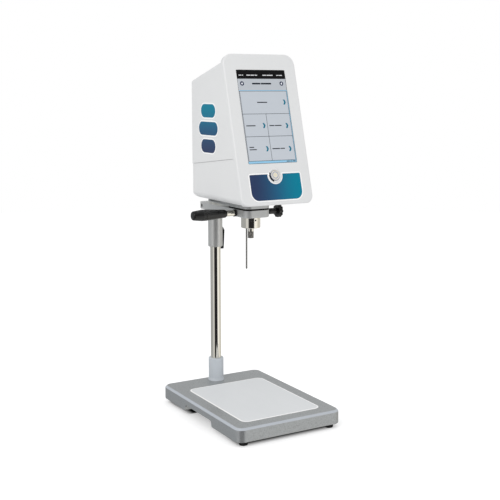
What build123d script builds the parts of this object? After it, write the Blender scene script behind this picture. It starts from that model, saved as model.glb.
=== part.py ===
from build123d import *
from math import cos, radians, sin, sqrt
import os

# Rotational viscometer on a column stand, in millimetres.
# +X is to the right of someone who reads the screen, +Y points to the rear and +Z is up.
# Heights are measured from the bench. Plan places are measured from the middle of the base
# until the finished pieces are moved together, so that the origin is the middle of the
# instrument's footprint on the bench.

# ---- Stand: base, mat and feet --------------------------------------------------------------
BASE_WIDTH = 200.0
BASE_LENGTH = 280.0
BASE_TOP = 31.5               # top face of the casting above the bench
SKIRT_GAP = 7.5               # daylight between the skirt and the bench
BASE_CORNER = 14.0
BASE_BEVEL = 3.3
BASE_LOWER_ROUND = 1.5
BASE_WALL = 6.0
BASE_ROOF = 7.5
RIB_THICK = 5.0
RIB_DEPTH = 5.0               # ribs under the roof
COLUMN_BOSS_LIFT = 5.0        # column boss stops this far above the skirt's lower edge
RECESS_LENGTH = 94.0          # finger recess in each long skirt
RECESS_HEIGHT = 11.0
RECESS_FLARE = 3.0
RECESS_ROUND = 5.0            # upper corners of the recess
RECESS_EASE = 2.5             # its corners with the skirt's lower edge
CHEEK_REACH = 6.5             # inward reach of the cheek at each end of a recess
MAT_WIDTH = 151.0
MAT_LENGTH = 201.0
MAT_THICK = 2.4
MAT_PROUD = 0.6
MAT_CORNER = 12.0
MAT_GAP = 0.3                 # gap all round the mat in its pocket
MAT_SHIFT = 14.3              # mat's middle in front of the base's middle
FOOT_RADIUS = 8.2
FOOT_TIP_RADIUS = 7.0         # on the bench
FOOT_SIDE_INSET = 17.0
FOOT_END_INSET = 13.4
FOOT_GAP = 0.3                # gap round a foot in its seat
FOOT_SEAT_DEPTH = 2.0
FOOT_BOSS_WALL = 1.5
FOOT_EDGE = 1.0
FOOT_SCREW_RADIUS = 2.0
FOOT_SCREW_GRIP = 9.0
FOOT_SCREW_HEAD = 2.2

# ---- Stand: column --------------------------------------------------------------------------
COLUMN_RADIUS = 9.5
COLUMN_LENGTH = 500.0
COLUMN_INSET = 20.0           # column's axis in front of the base's rear edge
COLUMN_EDGE = 0.8             # chamfer on the column and its collar
COLLAR_RADIUS = 13.75
COLLAR_HEIGHT = 42.0
COLLAR_FLARE = 1.3
COLLAR_FLARE_HEIGHT = 5.0
COLUMN_BOSS_WALL = 3.0
BOLT_RADIUS = 4.0
BOLT_GRIP = 22.0              # length of bolt inside the column
BOLT_HEAD = 6.0
WASHER_THICK = 1.6
CAP_HEIGHT = 5.0
CAP_STEM = 7.0                # stem of the cap inside the column
BORE_REST = 2.0               # bore left empty beyond the bolt's end and the cap's stem

# ---- Carriage: sleeve, clamp and arm ----------------------------------------------------------
SLEEVE_RADIUS = 13.0
SLEEVE_BOTTOM = 281.5
SLEEVE_EDGE = 1.5
LINER_WALL = 1.5
SLIDE_GAP = 0.06              # radial running gap of every shaft in its bore
ARM_BOTTOM = 350.5
ARM_THICK = 12.5
ARM_WIDTH = 49.0
ARM_NOSE = 27.5               # arm in front of the spindle's axis
ARM_TAIL = 17.0               # arm behind the column's axis
ARM_CORNER = 8.5              # plan corners of the tail
NOSE_CORNER = 12.0            # plan corners of the nose
ARM_EDGE = 1.8                # round along the arm's lower edges
ARM_BOSS_RADIUS = 18.0
ARM_BOSS_DROP = 4.5
SET_SCREW_RADIUS = 3.2
SET_SCREW_BACK = 5.5          # set screw behind the column's axis
SET_SCREW_SINK = 2.0          # its end below the arm's side
SPINDLE_REACH = 127.5         # column's axis to spindle's axis
CLAMP_TURN = 30.0             # clamp ears stand this far round from straight back, to the right
CLAMP_SLOT = 2.4
CLAMP_LIFT = 26.5             # clamp stud above the sleeve's lower end
EAR_RADIUS = 5.5
EAR_REACH = 17.5
EAR_HALF_WIDTH = 8.5
STUD_RADIUS = 3.0
CLAMP_NUT_THICK = 3.0
STUD_END_GAP = 0.4            # stud's end from the bottom of the lever's bore
LEVER_HUB_RADIUS = 6.5
LEVER_THICK = 7.2
LEVER_LENGTH = 34.0
LEVER_TAPER = 1.6             # lever's outer face runs in by this much towards the tip
LEVER_HOOK = 4.5              # tip reaches in under the sleeve by this much
LEVER_TIP_RADIUS = 4.2
LEVER_GAP = 0.5               # side play between two pieces that turn against each other
LEVER_END_WALL = 1.6          # closed end over the stud's bore

# ---- Carriage: measuring side under the arm ---------------------------------------------------
SOCKET_RADIUS = 14.0          # bore in the arm round the spindle
RING_RADIUS = 16.5
RING_BORE = 12.5
RING_DROP = 19.0
RING_BREAK = 0.6              # chamfer on the ring's lower edge
SPIGOT_SHORT = 1.0            # ring's spigot ends this far below the arm's top
GRUB_RADIUS = 1.5
GRUB_DROP = 5.3               # grub screw below the arm
PROBE_RADIUS = 1.5
PROBE_BOTTOM = 258.5
PROBE_BACK = 10.3
PROBE_SIDE = -2.2
COUPLING_RADIUS = 5.0
COUPLING_BOTTOM = 313.5
KNURL_LENGTH = 11.5
KNURL_TEETH = 24
COUPLING_SOCKET_RADIUS = 2.0
COUPLING_SOCKET_DEPTH = 9.0
SHAFT_END_GAP = 3.0           # shaft's end above the socket
COUPLING_TOP_GAP = 3.0        # coupling's upper end below the arm

# ---- Carriage: handle and lock knob -----------------------------------------------------------
HANDLE_Y = 1.0
HANDLE_ROD_RADIUS = 5.0
HANDLE_ROD_LENGTH = 14.5
HANDLE_STUD_RADIUS = 3.0      # thinner end screwed into the arm
HANDLE_SPIGOT_RADIUS = 3.5    # thinner end inside the grip
HANDLE_SEAT_RADIUS = 6.0
HANDLE_SEAT_LENGTH = 4.0
GRIP_LENGTH = 40.0
GRIP_START_RADIUS = 6.6
GRIP_END_RADIUS = 9.5
GRIP_SPIGOT_END = 6.0         # rod's spigot stops this far before the grip's end
END_CAP_LENGTH = 23.7
END_CAP_STRAIGHT = 6.0        # full-size stretch before the cap tapers
END_CAP_TIP_RADIUS = 7.4
END_CAP_ROUND = 3.0
CAP_GROOVE = 0.5
KNOB_RADIUS = 11.2
KNOB_THICK = 7.5
KNOB_HUB_RADIUS = 5.2
KNOB_HUB_LENGTH = 16.0
KNOB_EDGE = 0.6
KNOB_STAND_OFF = 26.5         # knob's near face from the arm's side
KNOB_FLUTES = 10
FLUTE_RADIUS = 1.9
KNOB_NECK_RADIUS = 2.7
KNOB_STUD_GAP = 0.3           # lock stud's end from the ring's spigot

# ---- Plates between arm and head --------------------------------------------------------------
GASKET_THICK = 3.0
BLOCK_THICK = 5.5
BLOCK_LENGTH = 70.0
PLATE_THICK = 7.5
PLATE_WIDTH = 90.0
PLATE_FRONT = 33.0            # plate in front of the spindle's axis
PLATE_REAR = 75.5             # plate behind the spindle's axis
PLATE_CORNER = 10.0
PLATE_SCREW_RADIUS = 2.5
PLATE_SCREW_HEAD = 3.0        # depth of the screws' heads in the plate
PLATE_SLOT_DEPTH = 3.0
PLATE_EDGE = 1.0

# ---- Head: housing ------------------------------------------------------------------------------
HEAD_WIDTH = 135.0
HEAD_DEPTH = 180.0
HEAD_NOSE = 90.5              # lower front edge in front of the spindle's axis
FACE_LENGTH = 249.5           # along the leaning front face
FACE_LEAN = 15.5              # degrees back from upright
FACE_CORNER_TOP = 18.0
FACE_CORNER_BOTTOM = 14.0
BEZEL_DEPTH = 9.0
BEZEL_EDGE = 2.2
BEZEL_FRONT_WALL = 4.2
COVER_WALL = 3.0
COVER_STEP = 0.4              # bezel stands this far proud of the cover's sides
ARCH_RISE = 11.0              # crown of the lid above its shoulders
CROWN_STEP = 1.5              # bezel above the crown
SHOULDER_RADIUS = 5.0
LOWER_SIDE_RADIUS = 12.0
LOWER_REAR_RADIUS = 20.0
REAR_EDGE_RADIUS = 8.0
TRAY_STEP = 0.9               # tray is drawn in under the cover by this much
SEAM_REAR_HEIGHT = 57.0       # seam above the head's underside, at the rear
SEAM_SLOPE = 6.5              # degrees, rising towards the front
SEAM_GAP = 0.4                # parting line between cover and tray
LIP_THICK = 1.4
LIP_HEIGHT = 3.0

# ---- Head: front face ---------------------------------------------------------------------------
SCREEN_WIDTH = 92.0
SCREEN_HEIGHT = 154.5
SCREEN_UP = 68.3              # screen's lower edge up the face
GLASS_THICK = 2.0
GLASS_SINK = 0.4
GLASS_GAP = 0.2
LEDGE_WIDTH = 3.0
DISPLAY_THICK = 5.0
BUTTON_UP = 48.3              # button's centre up the face
BUTTON_RING_RADIUS = 12.2
BUTTON_RADIUS = 8.2
BUTTON_TRAVEL = 1.5
BUTTON_GAP = 0.3
BUTTON_PROUD = 1.6
BUTTON_COLLAR_WALL = 1.5      # wall of the ring's collar in the frame
BUTTON_RING_THICK = 1.2
BUTTON_RING_EDGE = 0.5
PANEL_WIDTH = 95.5
PANEL_UP = 8.4
PANEL_HEIGHT = 42.4
PANEL_LOWER_RADIUS = 13.0
PANEL_UPPER_RADIUS = 2.0
PANEL_NOTCH_RADIUS = 14.2
PANEL_THICK = 1.0
PANEL_PROUD = 0.15
PANEL_GAP = 0.15              # gap all round the panel in its pocket

# ---- Head: inside -------------------------------------------------------------------------------
CHASSIS_THICK = 3.0
CHASSIS_WIDTH = 100.0
CHASSIS_HEIGHT = 110.0
CHASSIS_SETBACK = 6.0         # chassis upright in front of the plate's rear edge
CHASSIS_NOSE = 8.0            # chassis floor in front of the plate's front edge
CHASSIS_BEND = 3.0            # inner radius of the bend
SHAFT_RADIUS = 4.0
BEARING_RADIUS = 11.0
BEARING_WIDTH = 7.0
BEARING_TUBE_RADIUS = 14.0
BEARING_TUBE_HEIGHT = 36.0
BEARING_FLANGE_RADIUS = 24.0
BEARING_FLANGE_THICK = 4.0
BEARING_LIP = 2.5             # shoulder under each bearing
DISC_RADIUS = 22.0
DISC_THICK = 1.5
DISC_ABOVE_TUBE = 5.0
MOTOR_RADIUS = 21.0
MOTOR_LENGTH = 52.0
MOTOR_SHAFT_RADIUS = 2.5
MOTOR_LIFT = 62.0             # motor plate above the chassis
MOTOR_PLATE_THICK = 4.0
MOTOR_PLATE_HALF = 30.0
POST_RADIUS = 3.5
HUB_RADIUS = 9.0
HUB_LENGTH = 12.0
BOARD_THICK = 1.6
BOARD_WIDTH = 92.0
BOARD_HEIGHT = 84.0
STANDOFF_LENGTH = 6.0
STANDOFF_RADIUS = 3.0
BOARD_LIFT = 10.0             # board's lower edge above the chassis floor
BOARD_HOLE_INSET = 5.0
CHIP_SIDE = 16.0
CHIP_THICK = 2.0
HEADER_LENGTH = 50.0
HEADER_HEIGHT = 5.0
CAN_RADIUS = 5.0
CAN_HEIGHT = 9.0
GATE_REACH = 14.0             # encoder's light gate, outwards
GATE_WIDTH = 12.0
GATE_WALL = 4.0
PORT_DEPTH = 14.0
JACK_RADIUS = 2.8
JACK_DEPTH = 9.0
JACK_PIN_RADIUS = 1.0
DATA_WALL = 1.6
DATA_TONGUE_GAP = 2.0

# ---- Places worked out from the sizes -------------------------------------------------------------
COLUMN_Y = BASE_LENGTH / 2 - COLUMN_INSET
SPINDLE_Y = COLUMN_Y - SPINDLE_REACH
COLUMN_TOP = BASE_TOP + COLUMN_LENGTH
COLUMN_BOSS_BOTTOM = SKIRT_GAP + COLUMN_BOSS_LIFT
ARM_TOP = ARM_BOTTOM + ARM_THICK
CLAMP_HEIGHT = SLEEVE_BOTTOM + CLAMP_LIFT
ARM_MID = ARM_BOTTOM + ARM_THICK / 2
BLOCK_BOTTOM = ARM_TOP + GASKET_THICK
PLATE_BOTTOM = BLOCK_BOTTOM + BLOCK_THICK
HEAD_BOTTOM = PLATE_BOTTOM + PLATE_THICK
HEAD_FRONT = SPINDLE_Y - HEAD_NOSE
HEAD_REAR = HEAD_FRONT + HEAD_DEPTH
COVER_HALF = HEAD_WIDTH / 2 - COVER_STEP
LID_CROWN = FACE_LENGTH - CROWN_STEP                                    # up the face
LID_RADIUS = (COVER_HALF ** 2 + ARCH_RISE ** 2) / (2 * ARCH_RISE)
CHASSIS_BOTTOM = HEAD_BOTTOM + COVER_WALL
CHASSIS_TOP = CHASSIS_BOTTOM + CHASSIS_THICK
TUBE_TOP = CHASSIS_TOP + BEARING_TUBE_HEIGHT
MOTOR_PLATE_BOTTOM = CHASSIS_TOP + MOTOR_LIFT
MOTOR_BOTTOM = MOTOR_PLATE_BOTTOM + MOTOR_PLATE_THICK
FOOT_X = BASE_WIDTH / 2 - FOOT_SIDE_INSET
FOOT_Y = BASE_LENGTH / 2 - FOOT_END_INSET
FOOT_TOP = SKIRT_GAP + FOOT_SEAT_DEPTH
LINER_RADIUS = COLUMN_RADIUS + SLIDE_GAP + LINER_WALL
KNOB_FACE_X = ARM_WIDTH / 2 + KNOB_STAND_OFF

LEAN = radians(FACE_LEAN)
SLOPE = radians(SEAM_SLOPE)
FACE = Plane(origin=(0, HEAD_FRONT, HEAD_BOTTOM), x_dir=(1, 0, 0), z_dir=(0, -cos(LEAN), sin(LEAN)))
SEAM = Plane(
    origin=(0, HEAD_REAR, HEAD_BOTTOM + SEAM_REAR_HEIGHT),
    x_dir=(1, 0, 0),
    z_dir=(0, sin(SLOPE), cos(SLOPE)),
)
COLUMN_AXIS = Pos(0, COLUMN_Y, 0)
SPINDLE_AXIS = Pos(0, SPINDLE_Y, 0)
CLAMP_FRAME = COLUMN_AXIS * Rot(0, 0, -CLAMP_TURN)    # its +Y runs out along the ears


# ---- Shared shapes --------------------------------------------------------------------------------
def disc(radius, bottom, top):
    """Upright cylinder between two heights."""
    return Pos(0, 0, bottom) * Cylinder(radius, top - bottom, align=(Align.CENTER, Align.CENTER, Align.MIN))


def tube(outer, inner, bottom, top):
    """Upright tube between two heights."""
    return disc(outer, bottom, top) - disc(inner, bottom - 1, top + 1)


def slab(width, length, corner, bottom, top):
    """Flat plate with round plan corners."""
    return Pos(0, 0, bottom) * extrude(RectangleRounded(width, length, corner), top - bottom)


def crossbar(radius, start, end, y, z):
    """Cylinder along X between two X values."""
    bar = Cylinder(radius, abs(end - start), align=(Align.CENTER, Align.CENTER, Align.MIN))
    return Pos(min(start, end), y, z) * Rot(0, 90, 0) * bar


def corners(half_x, half_y):
    """The four corners of a rectangle."""
    return [(x, y) for x in (-half_x, half_x) for y in (-half_y, half_y)]


def group(solids):
    """Separate solids that share a node."""
    return Compound(list(solids))


def on_face(x, up, out=0.0):
    """Place on the leaning front face, measured from its lower middle."""
    return FACE * Pos(x, up, out)


# ---- Stand ----------------------------------------------------------------------------------------
def recess_cutter():
    """Mouth of a finger recess: upright ends, round above and eased into the skirt's lower edge."""
    half = RECESS_LENGTH / 2
    wide = half + RECESS_FLARE
    far = wide + 2 * RECESS_EASE
    low = SKIRT_GAP - RECESS_EASE
    high = SKIRT_GAP + RECESS_HEIGHT
    right = [(far, low), (far, SKIRT_GAP), (wide, SKIRT_GAP), (half, high)]
    left = [(-y, z) for y, z in reversed(right)]
    face = make_face(Polyline(*right, *left, close=True))
    face = fillet(face.vertices().group_by(Axis.Y)[-1], RECESS_ROUND)
    eased = [corner for corner in face.vertices() if abs(abs(corner.X) - wide) < 0.01]
    face = fillet(eased, RECESS_EASE)
    deep = BASE_WALL + CHEEK_REACH + 2.0
    return Pos(BASE_WIDTH / 2 + 1.0 - deep, 0, 0) * extrude(Plane.YZ * face, deep)


def base_casting():
    """Grey cast base: bevelled plate with a deep skirt, ribs and bosses underneath."""
    body = slab(BASE_WIDTH, BASE_LENGTH, BASE_CORNER, SKIRT_GAP, BASE_TOP)
    body = chamfer(body.edges().group_by(Axis.Z)[-1], BASE_BEVEL)
    body = fillet(body.edges().group_by(Axis.Z)[0], BASE_LOWER_ROUND)
    inner_width = BASE_WIDTH - 2 * BASE_WALL
    inner_length = BASE_LENGTH - 2 * BASE_WALL
    roof = BASE_TOP - BASE_ROOF
    body -= slab(inner_width, inner_length, BASE_CORNER - BASE_WALL, SKIRT_GAP - 1.0, roof)

    rib_height = RIB_DEPTH + 1.0
    rib_z = roof - RIB_DEPTH + rib_height / 2
    rib_x = inner_width / 5
    for side in (-1, 1):
        body += Pos(side * rib_x, 0, rib_z) * Box(RIB_THICK, inner_length + 1.0, rib_height)
        body += Pos(0, side * inner_length / 4, rib_z) * Box(inner_width + 1.0, RIB_THICK, rib_height)
    body += Pos(0, 0, rib_z) * Box(2 * rib_x, RIB_THICK, rib_height)
    for x, y in corners(FOOT_X, FOOT_Y):
        body += Pos(x, y, 0) * disc(FOOT_RADIUS + FOOT_BOSS_WALL, FOOT_TOP, roof + 1.0)
    body += COLUMN_AXIS * disc(COLLAR_RADIUS + COLUMN_BOSS_WALL, COLUMN_BOSS_BOTTOM, roof + 1.0)
    cheek_length = RECESS_FLARE + RIB_THICK
    cheek = Box(CHEEK_REACH + 1.0, cheek_length, roof + 1.0 - SKIRT_GAP)
    cheek_x = inner_width / 2 + 1.0 - (CHEEK_REACH + 1.0) / 2
    for x, y in corners(cheek_x, (RECESS_LENGTH + cheek_length) / 2):
        body += Pos(x, y, (roof + 1.0 + SKIRT_GAP) / 2) * cheek

    body -= recess_cutter()
    body -= mirror(recess_cutter(), Plane.YZ)
    pocket = slab(
        MAT_WIDTH + 2 * MAT_GAP,
        MAT_LENGTH + 2 * MAT_GAP,
        MAT_CORNER + MAT_GAP,
        BASE_TOP - MAT_THICK + MAT_PROUD,
        BASE_TOP + 1.0,
    )
    body -= Pos(0, -MAT_SHIFT, 0) * pocket
    body -= COLUMN_AXIS * disc(BOLT_RADIUS, SKIRT_GAP, BASE_TOP + 1.0)
    for x, y in corners(FOOT_X, FOOT_Y):
        body -= Pos(x, y, 0) * disc(FOOT_RADIUS + FOOT_GAP, SKIRT_GAP - 1.0, FOOT_TOP)
        body -= Pos(x, y, 0) * disc(FOOT_SCREW_RADIUS, FOOT_TOP - 1.0, FOOT_TOP + FOOT_SCREW_GRIP + 1.0)
    return body


def bench_mat():
    """Pale work mat let into the top of the base."""
    mat = slab(MAT_WIDTH, MAT_LENGTH, MAT_CORNER, BASE_TOP - MAT_THICK + MAT_PROUD, BASE_TOP + MAT_PROUD)
    mat = fillet(mat.edges().group_by(Axis.Z)[-1], MAT_PROUD * 0.8)
    return Pos(0, -MAT_SHIFT, 0) * mat


def rubber_feet():
    """Four rubber feet, each with a counterbore for its screw."""
    foot = disc(FOOT_RADIUS, SKIRT_GAP - 1.0, FOOT_TOP)
    foot += Pos(0, 0, (SKIRT_GAP - 1.0) / 2) * Cone(FOOT_TIP_RADIUS, FOOT_RADIUS, SKIRT_GAP - 1.0)
    foot = fillet(foot.edges().group_by(Axis.Z)[0], FOOT_EDGE)
    foot -= disc(FOOT_SCREW_RADIUS * 2.0, -1, FOOT_TOP / 2)
    foot -= disc(FOOT_SCREW_RADIUS, -1, FOOT_TOP + 1)
    return group(Pos(x, y, 0) * foot for x, y in corners(FOOT_X, FOOT_Y))


def foot_screws():
    """Four pan-head screws that hold the feet up into the bosses."""
    head_bottom = FOOT_TOP / 2 - FOOT_SCREW_HEAD
    screw = disc(FOOT_SCREW_RADIUS * 1.85, head_bottom, FOOT_TOP / 2)
    screw += disc(FOOT_SCREW_RADIUS, FOOT_TOP / 2 - 0.5, FOOT_TOP + FOOT_SCREW_GRIP)
    screw -= Pos(0, 0, head_bottom) * Box(FOOT_SCREW_RADIUS * 2.4, 0.8, 1.6)
    return group(Pos(x, y, 0) * screw for x, y in corners(FOOT_X, FOOT_Y))


def column_collar():
    """Pale collar round the foot of the column, with a soft flare on the base."""
    collar = tube(COLLAR_RADIUS, COLUMN_RADIUS, BASE_TOP, BASE_TOP + COLLAR_HEIGHT)
    rim = collar.edges().filter_by(GeomType.CIRCLE).group_by(SortBy.RADIUS)[-1].group_by(Axis.Z)[-1]
    collar = chamfer(rim, COLUMN_EDGE)
    flare = Cone(COLLAR_RADIUS + COLLAR_FLARE, COLLAR_RADIUS, COLLAR_FLARE_HEIGHT)
    flare = Pos(0, 0, BASE_TOP + COLLAR_FLARE_HEIGHT / 2) * flare
    return COLUMN_AXIS * (collar + (flare - disc(COLUMN_RADIUS, BASE_TOP - 1, BASE_TOP + COLLAR_HEIGHT)))


def column_rod():
    """Bright steel column, tapped below for its bolt and bored above for the cap."""
    rod = disc(COLUMN_RADIUS, BASE_TOP, COLUMN_TOP)
    rod = chamfer(rod.edges().group_by(Axis.Z)[-1], COLUMN_EDGE)
    rod -= disc(BOLT_RADIUS, BASE_TOP - 1, BASE_TOP + BOLT_GRIP + BORE_REST)
    rod -= disc(BOLT_RADIUS, COLUMN_TOP - CAP_STEM - BORE_REST, COLUMN_TOP + 1)
    return COLUMN_AXIS * rod


def column_washer():
    """Wide washer under the column boss."""
    bottom = COLUMN_BOSS_BOTTOM - WASHER_THICK
    return COLUMN_AXIS * tube(BOLT_RADIUS * 2.4, BOLT_RADIUS, bottom, COLUMN_BOSS_BOTTOM)


def column_bolt():
    """Socket-head bolt that pulls the column down on to the base."""
    top = COLUMN_BOSS_BOTTOM - WASHER_THICK
    bottom = top - BOLT_HEAD
    bolt = disc(BOLT_RADIUS * 1.6, bottom, top) + disc(BOLT_RADIUS, top - 1.0, BASE_TOP + BOLT_GRIP)
    key = extrude(RegularPolygon(BOLT_RADIUS * 0.85, 6), BOLT_HEAD * 0.6)
    return COLUMN_AXIS * (bolt - Pos(0, 0, bottom) * key)


def column_cap():
    """Domed end cap pushed into the top of the column."""
    cap = disc(COLUMN_RADIUS - 0.4, COLUMN_TOP, COLUMN_TOP + CAP_HEIGHT)
    cap = fillet(cap.edges().group_by(Axis.Z)[-1], CAP_HEIGHT * 0.7)
    return COLUMN_AXIS * (cap + disc(BOLT_RADIUS, COLUMN_TOP - CAP_STEM, COLUMN_TOP + 1.0))


# ---- Sleeve, liner and clamp -------------------------------------------------------------------------
def clamp_slot(bottom, top):
    """Saw cut from the column's axis out through the ears."""
    length = EAR_REACH + EAR_RADIUS + 2.0
    height = top - bottom
    return CLAMP_FRAME * Pos(0, length / 2, bottom + height / 2) * Box(CLAMP_SLOT, length, height)


def sleeve_liner():
    """Split plastic bush that runs on the column inside the sleeve."""
    liner = tube(LINER_RADIUS, COLUMN_RADIUS + SLIDE_GAP, SLEEVE_BOTTOM, ARM_TOP)
    return COLUMN_AXIS * liner - clamp_slot(SLEEVE_BOTTOM - 1, ARM_TOP + 1)


def clamp_sleeve():
    """Steel sleeve under the arm, split on one side between two clamping ears."""
    sleeve = disc(SLEEVE_RADIUS, SLEEVE_BOTTOM, ARM_TOP)
    sleeve = fillet(sleeve.edges().group_by(Axis.Z)[0], SLEEVE_EDGE)
    barrel = Pos(0, EAR_REACH, CLAMP_HEIGHT) * Rot(0, 90, 0) * Cylinder(EAR_RADIUS, 2 * EAR_HALF_WIDTH)
    web = Pos(0, EAR_REACH / 2, CLAMP_HEIGHT) * Box(2 * EAR_HALF_WIDTH, EAR_REACH, 2 * EAR_RADIUS)
    hole = Pos(0, EAR_REACH, CLAMP_HEIGHT) * Rot(0, 90, 0) * Cylinder(STUD_RADIUS, 4 * EAR_HALF_WIDTH)
    body = COLUMN_AXIS * sleeve + CLAMP_FRAME * (barrel + web)
    body -= COLUMN_AXIS * disc(LINER_RADIUS + SLIDE_GAP, SLEEVE_BOTTOM - 1, ARM_TOP + 1)
    body -= clamp_slot(SLEEVE_BOTTOM - 1, CLAMP_HEIGHT + 3 * EAR_RADIUS)
    return body - CLAMP_FRAME * hole


def on_clamp(offset):
    """Place on the clamp stud's axis, offset mm along it to the right."""
    return CLAMP_FRAME * Pos(offset, EAR_REACH, CLAMP_HEIGHT) * Rot(0, 90, 0)


def clamp_stud():
    """Stud through both ears; its right end is the lever's pivot."""
    start = -EAR_HALF_WIDTH - CLAMP_NUT_THICK
    end = EAR_HALF_WIDTH + LEVER_GAP + LEVER_THICK - LEVER_END_WALL - STUD_END_GAP
    return on_clamp((start + end) / 2) * Cylinder(STUD_RADIUS, end - start)


def clamp_nut():
    """Hexagon nut against the left ear."""
    nut = extrude(RegularPolygon(STUD_RADIUS * 1.6, 6), CLAMP_NUT_THICK)
    nut -= disc(STUD_RADIUS, -1, CLAMP_NUT_THICK + 1)
    return on_clamp(-EAR_HALF_WIDTH - CLAMP_NUT_THICK) * nut


def clamp_lever():
    """Black clamping lever: it hangs beside the sleeve, narrows downwards and hooks in under it."""
    hub = Circle(LEVER_HUB_RADIUS)
    tip = Pos(LEVER_LENGTH - LEVER_TIP_RADIUS, 0) * Circle(LEVER_TIP_RADIUS)
    outline = extrude(make_hull(hub.edges() + tip.edges()), LEVER_THICK + LEVER_HOOK)
    hook = CLAMP_LIFT + 2 * LEVER_GAP
    side = make_face(
        Polyline(
            (-LEVER_HUB_RADIUS, 0),
            (hook, 0),
            (hook, -LEVER_HOOK),
            (LEVER_LENGTH, -LEVER_HOOK),
            (LEVER_LENGTH, LEVER_THICK - LEVER_TAPER),
            (0, LEVER_THICK),
            (-LEVER_HUB_RADIUS, LEVER_THICK - LEVER_HUB_RADIUS / 2),
            close=True,
        )
    )
    side = fillet(side.vertices().group_by(Axis.X)[-1], LEVER_TIP_RADIUS / 2)
    side = extrude(Plane.XZ * side, 2 * LEVER_HUB_RADIUS, both=True)
    lever = (Pos(0, 0, -LEVER_HOOK) * outline) & side
    lever -= disc(STUD_RADIUS + SLIDE_GAP, -1, LEVER_THICK - LEVER_END_WALL)
    return on_clamp(EAR_HALF_WIDTH + LEVER_GAP) * lever


# ---- Arm and what hangs from it ------------------------------------------------------------------------
def support_arm():
    """Flat bar that carries the head, clamped on the sleeve behind and bored for the spindle in front."""
    length = ARM_NOSE + SPINDLE_REACH + ARM_TAIL
    middle_y = SPINDLE_Y - ARM_NOSE + length / 2
    plan = Rectangle(ARM_WIDTH, length)
    plan = fillet(plan.vertices().group_by(Axis.Y)[0], NOSE_CORNER)
    plan = fillet(plan.vertices().group_by(Axis.Y)[-1], ARM_CORNER)
    arm = Pos(0, middle_y, ARM_BOTTOM) * extrude(plan, ARM_THICK)
    arm = fillet(arm.edges().group_by(Axis.Z)[0], ARM_EDGE)
    arm += COLUMN_AXIS * disc(ARM_BOSS_RADIUS, ARM_BOTTOM - ARM_BOSS_DROP, ARM_BOTTOM + 1.0)
    arm -= COLUMN_AXIS * disc(SLEEVE_RADIUS, ARM_BOTTOM - ARM_BOSS_DROP - 1, ARM_TOP + 1)
    arm -= SPINDLE_AXIS * disc(SOCKET_RADIUS, ARM_BOTTOM - 1, ARM_TOP + 1)
    arm -= crossbar(SET_SCREW_RADIUS, -ARM_WIDTH, -SLEEVE_RADIUS / 2, COLUMN_Y + SET_SCREW_BACK, ARM_MID)
    arm -= crossbar(HANDLE_STUD_RADIUS, -ARM_WIDTH, -SOCKET_RADIUS - 1.0, HANDLE_Y, ARM_MID)
    arm -= crossbar(KNOB_NECK_RADIUS, ARM_WIDTH, SOCKET_RADIUS - 2, SPINDLE_Y, ARM_MID)
    return arm


def arm_set_screw():
    """Socket set screw that pins the sleeve in the arm."""
    behind = COLUMN_Y + SET_SCREW_BACK
    inner = sqrt(SLEEVE_RADIUS ** 2 - (SET_SCREW_RADIUS - SET_SCREW_BACK) ** 2) + SLIDE_GAP
    outer = ARM_WIDTH / 2 - SET_SCREW_SINK
    screw = crossbar(SET_SCREW_RADIUS, -outer, -inner, behind, ARM_MID)
    key = Rot(0, 90, 0) * extrude(RegularPolygon(SET_SCREW_RADIUS * 0.55, 6), SET_SCREW_RADIUS)
    return screw - Pos(-outer, behind, ARM_MID) * key


def under_block(width, corner, bottom, top):
    """Block or gasket on the arm's nose, bored round the spindle's axis."""
    plate = slab(width, BLOCK_LENGTH, corner, bottom, top)
    centre = SPINDLE_Y - ARM_NOSE + BLOCK_LENGTH / 2
    return Pos(0, centre, 0) * plate - SPINDLE_AXIS * disc(SOCKET_RADIUS, bottom - 1, top + 1)


def arm_gasket():
    """Dark damping sheet between arm and block."""
    return under_block(ARM_WIDTH - 2.0, NOSE_CORNER - 1.0, ARM_TOP, BLOCK_BOTTOM)


def foot_block():
    """Aluminium block that lifts the head off the arm."""
    return under_block(ARM_WIDTH, NOSE_CORNER, BLOCK_BOTTOM, PLATE_BOTTOM)


def plate_screw_places():
    """Corner screws of the head's mounting plate, from the spindle's axis."""
    inset = PLATE_CORNER
    half = PLATE_WIDTH / 2 - inset
    return [(x, SPINDLE_Y + y) for x in (-half, half) for y in (-PLATE_FRONT + inset, PLATE_REAR - inset)]


def mount_plate():
    """Plate under the head, with a long slot in each side and a bore for the bearing tube."""
    length = PLATE_FRONT + PLATE_REAR
    middle = SPINDLE_Y - PLATE_FRONT + length / 2
    plate = Pos(0, middle, 0) * slab(PLATE_WIDTH, length, PLATE_CORNER, PLATE_BOTTOM, HEAD_BOTTOM)
    plate = chamfer(plate.edges().group_by(Axis.Z)[0], PLATE_EDGE)
    plate -= SPINDLE_AXIS * disc(BEARING_TUBE_RADIUS, PLATE_BOTTOM - 1, HEAD_BOTTOM + 1)
    slot = extrude(SlotOverall(length / 3, PLATE_THICK / 3), PLATE_SLOT_DEPTH + 1.0)
    for side in (-1, 1):
        place = Pos(side * (PLATE_WIDTH / 2 + 1.0), middle + length / 5, PLATE_BOTTOM + PLATE_THICK / 2)
        plate -= place * Rot(0, -90 * side, 0) * Rot(0, 0, 90) * slot
    sunk_to = PLATE_BOTTOM + PLATE_SCREW_HEAD
    for x, y in plate_screw_places():
        plate -= Pos(x, y, 0) * disc(PLATE_SCREW_RADIUS, PLATE_BOTTOM - 1, HEAD_BOTTOM + 1)
        plate -= Pos(x, y, 0) * disc(PLATE_SCREW_RADIUS * 2, PLATE_BOTTOM - 1, sunk_to)
    return plate


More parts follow.
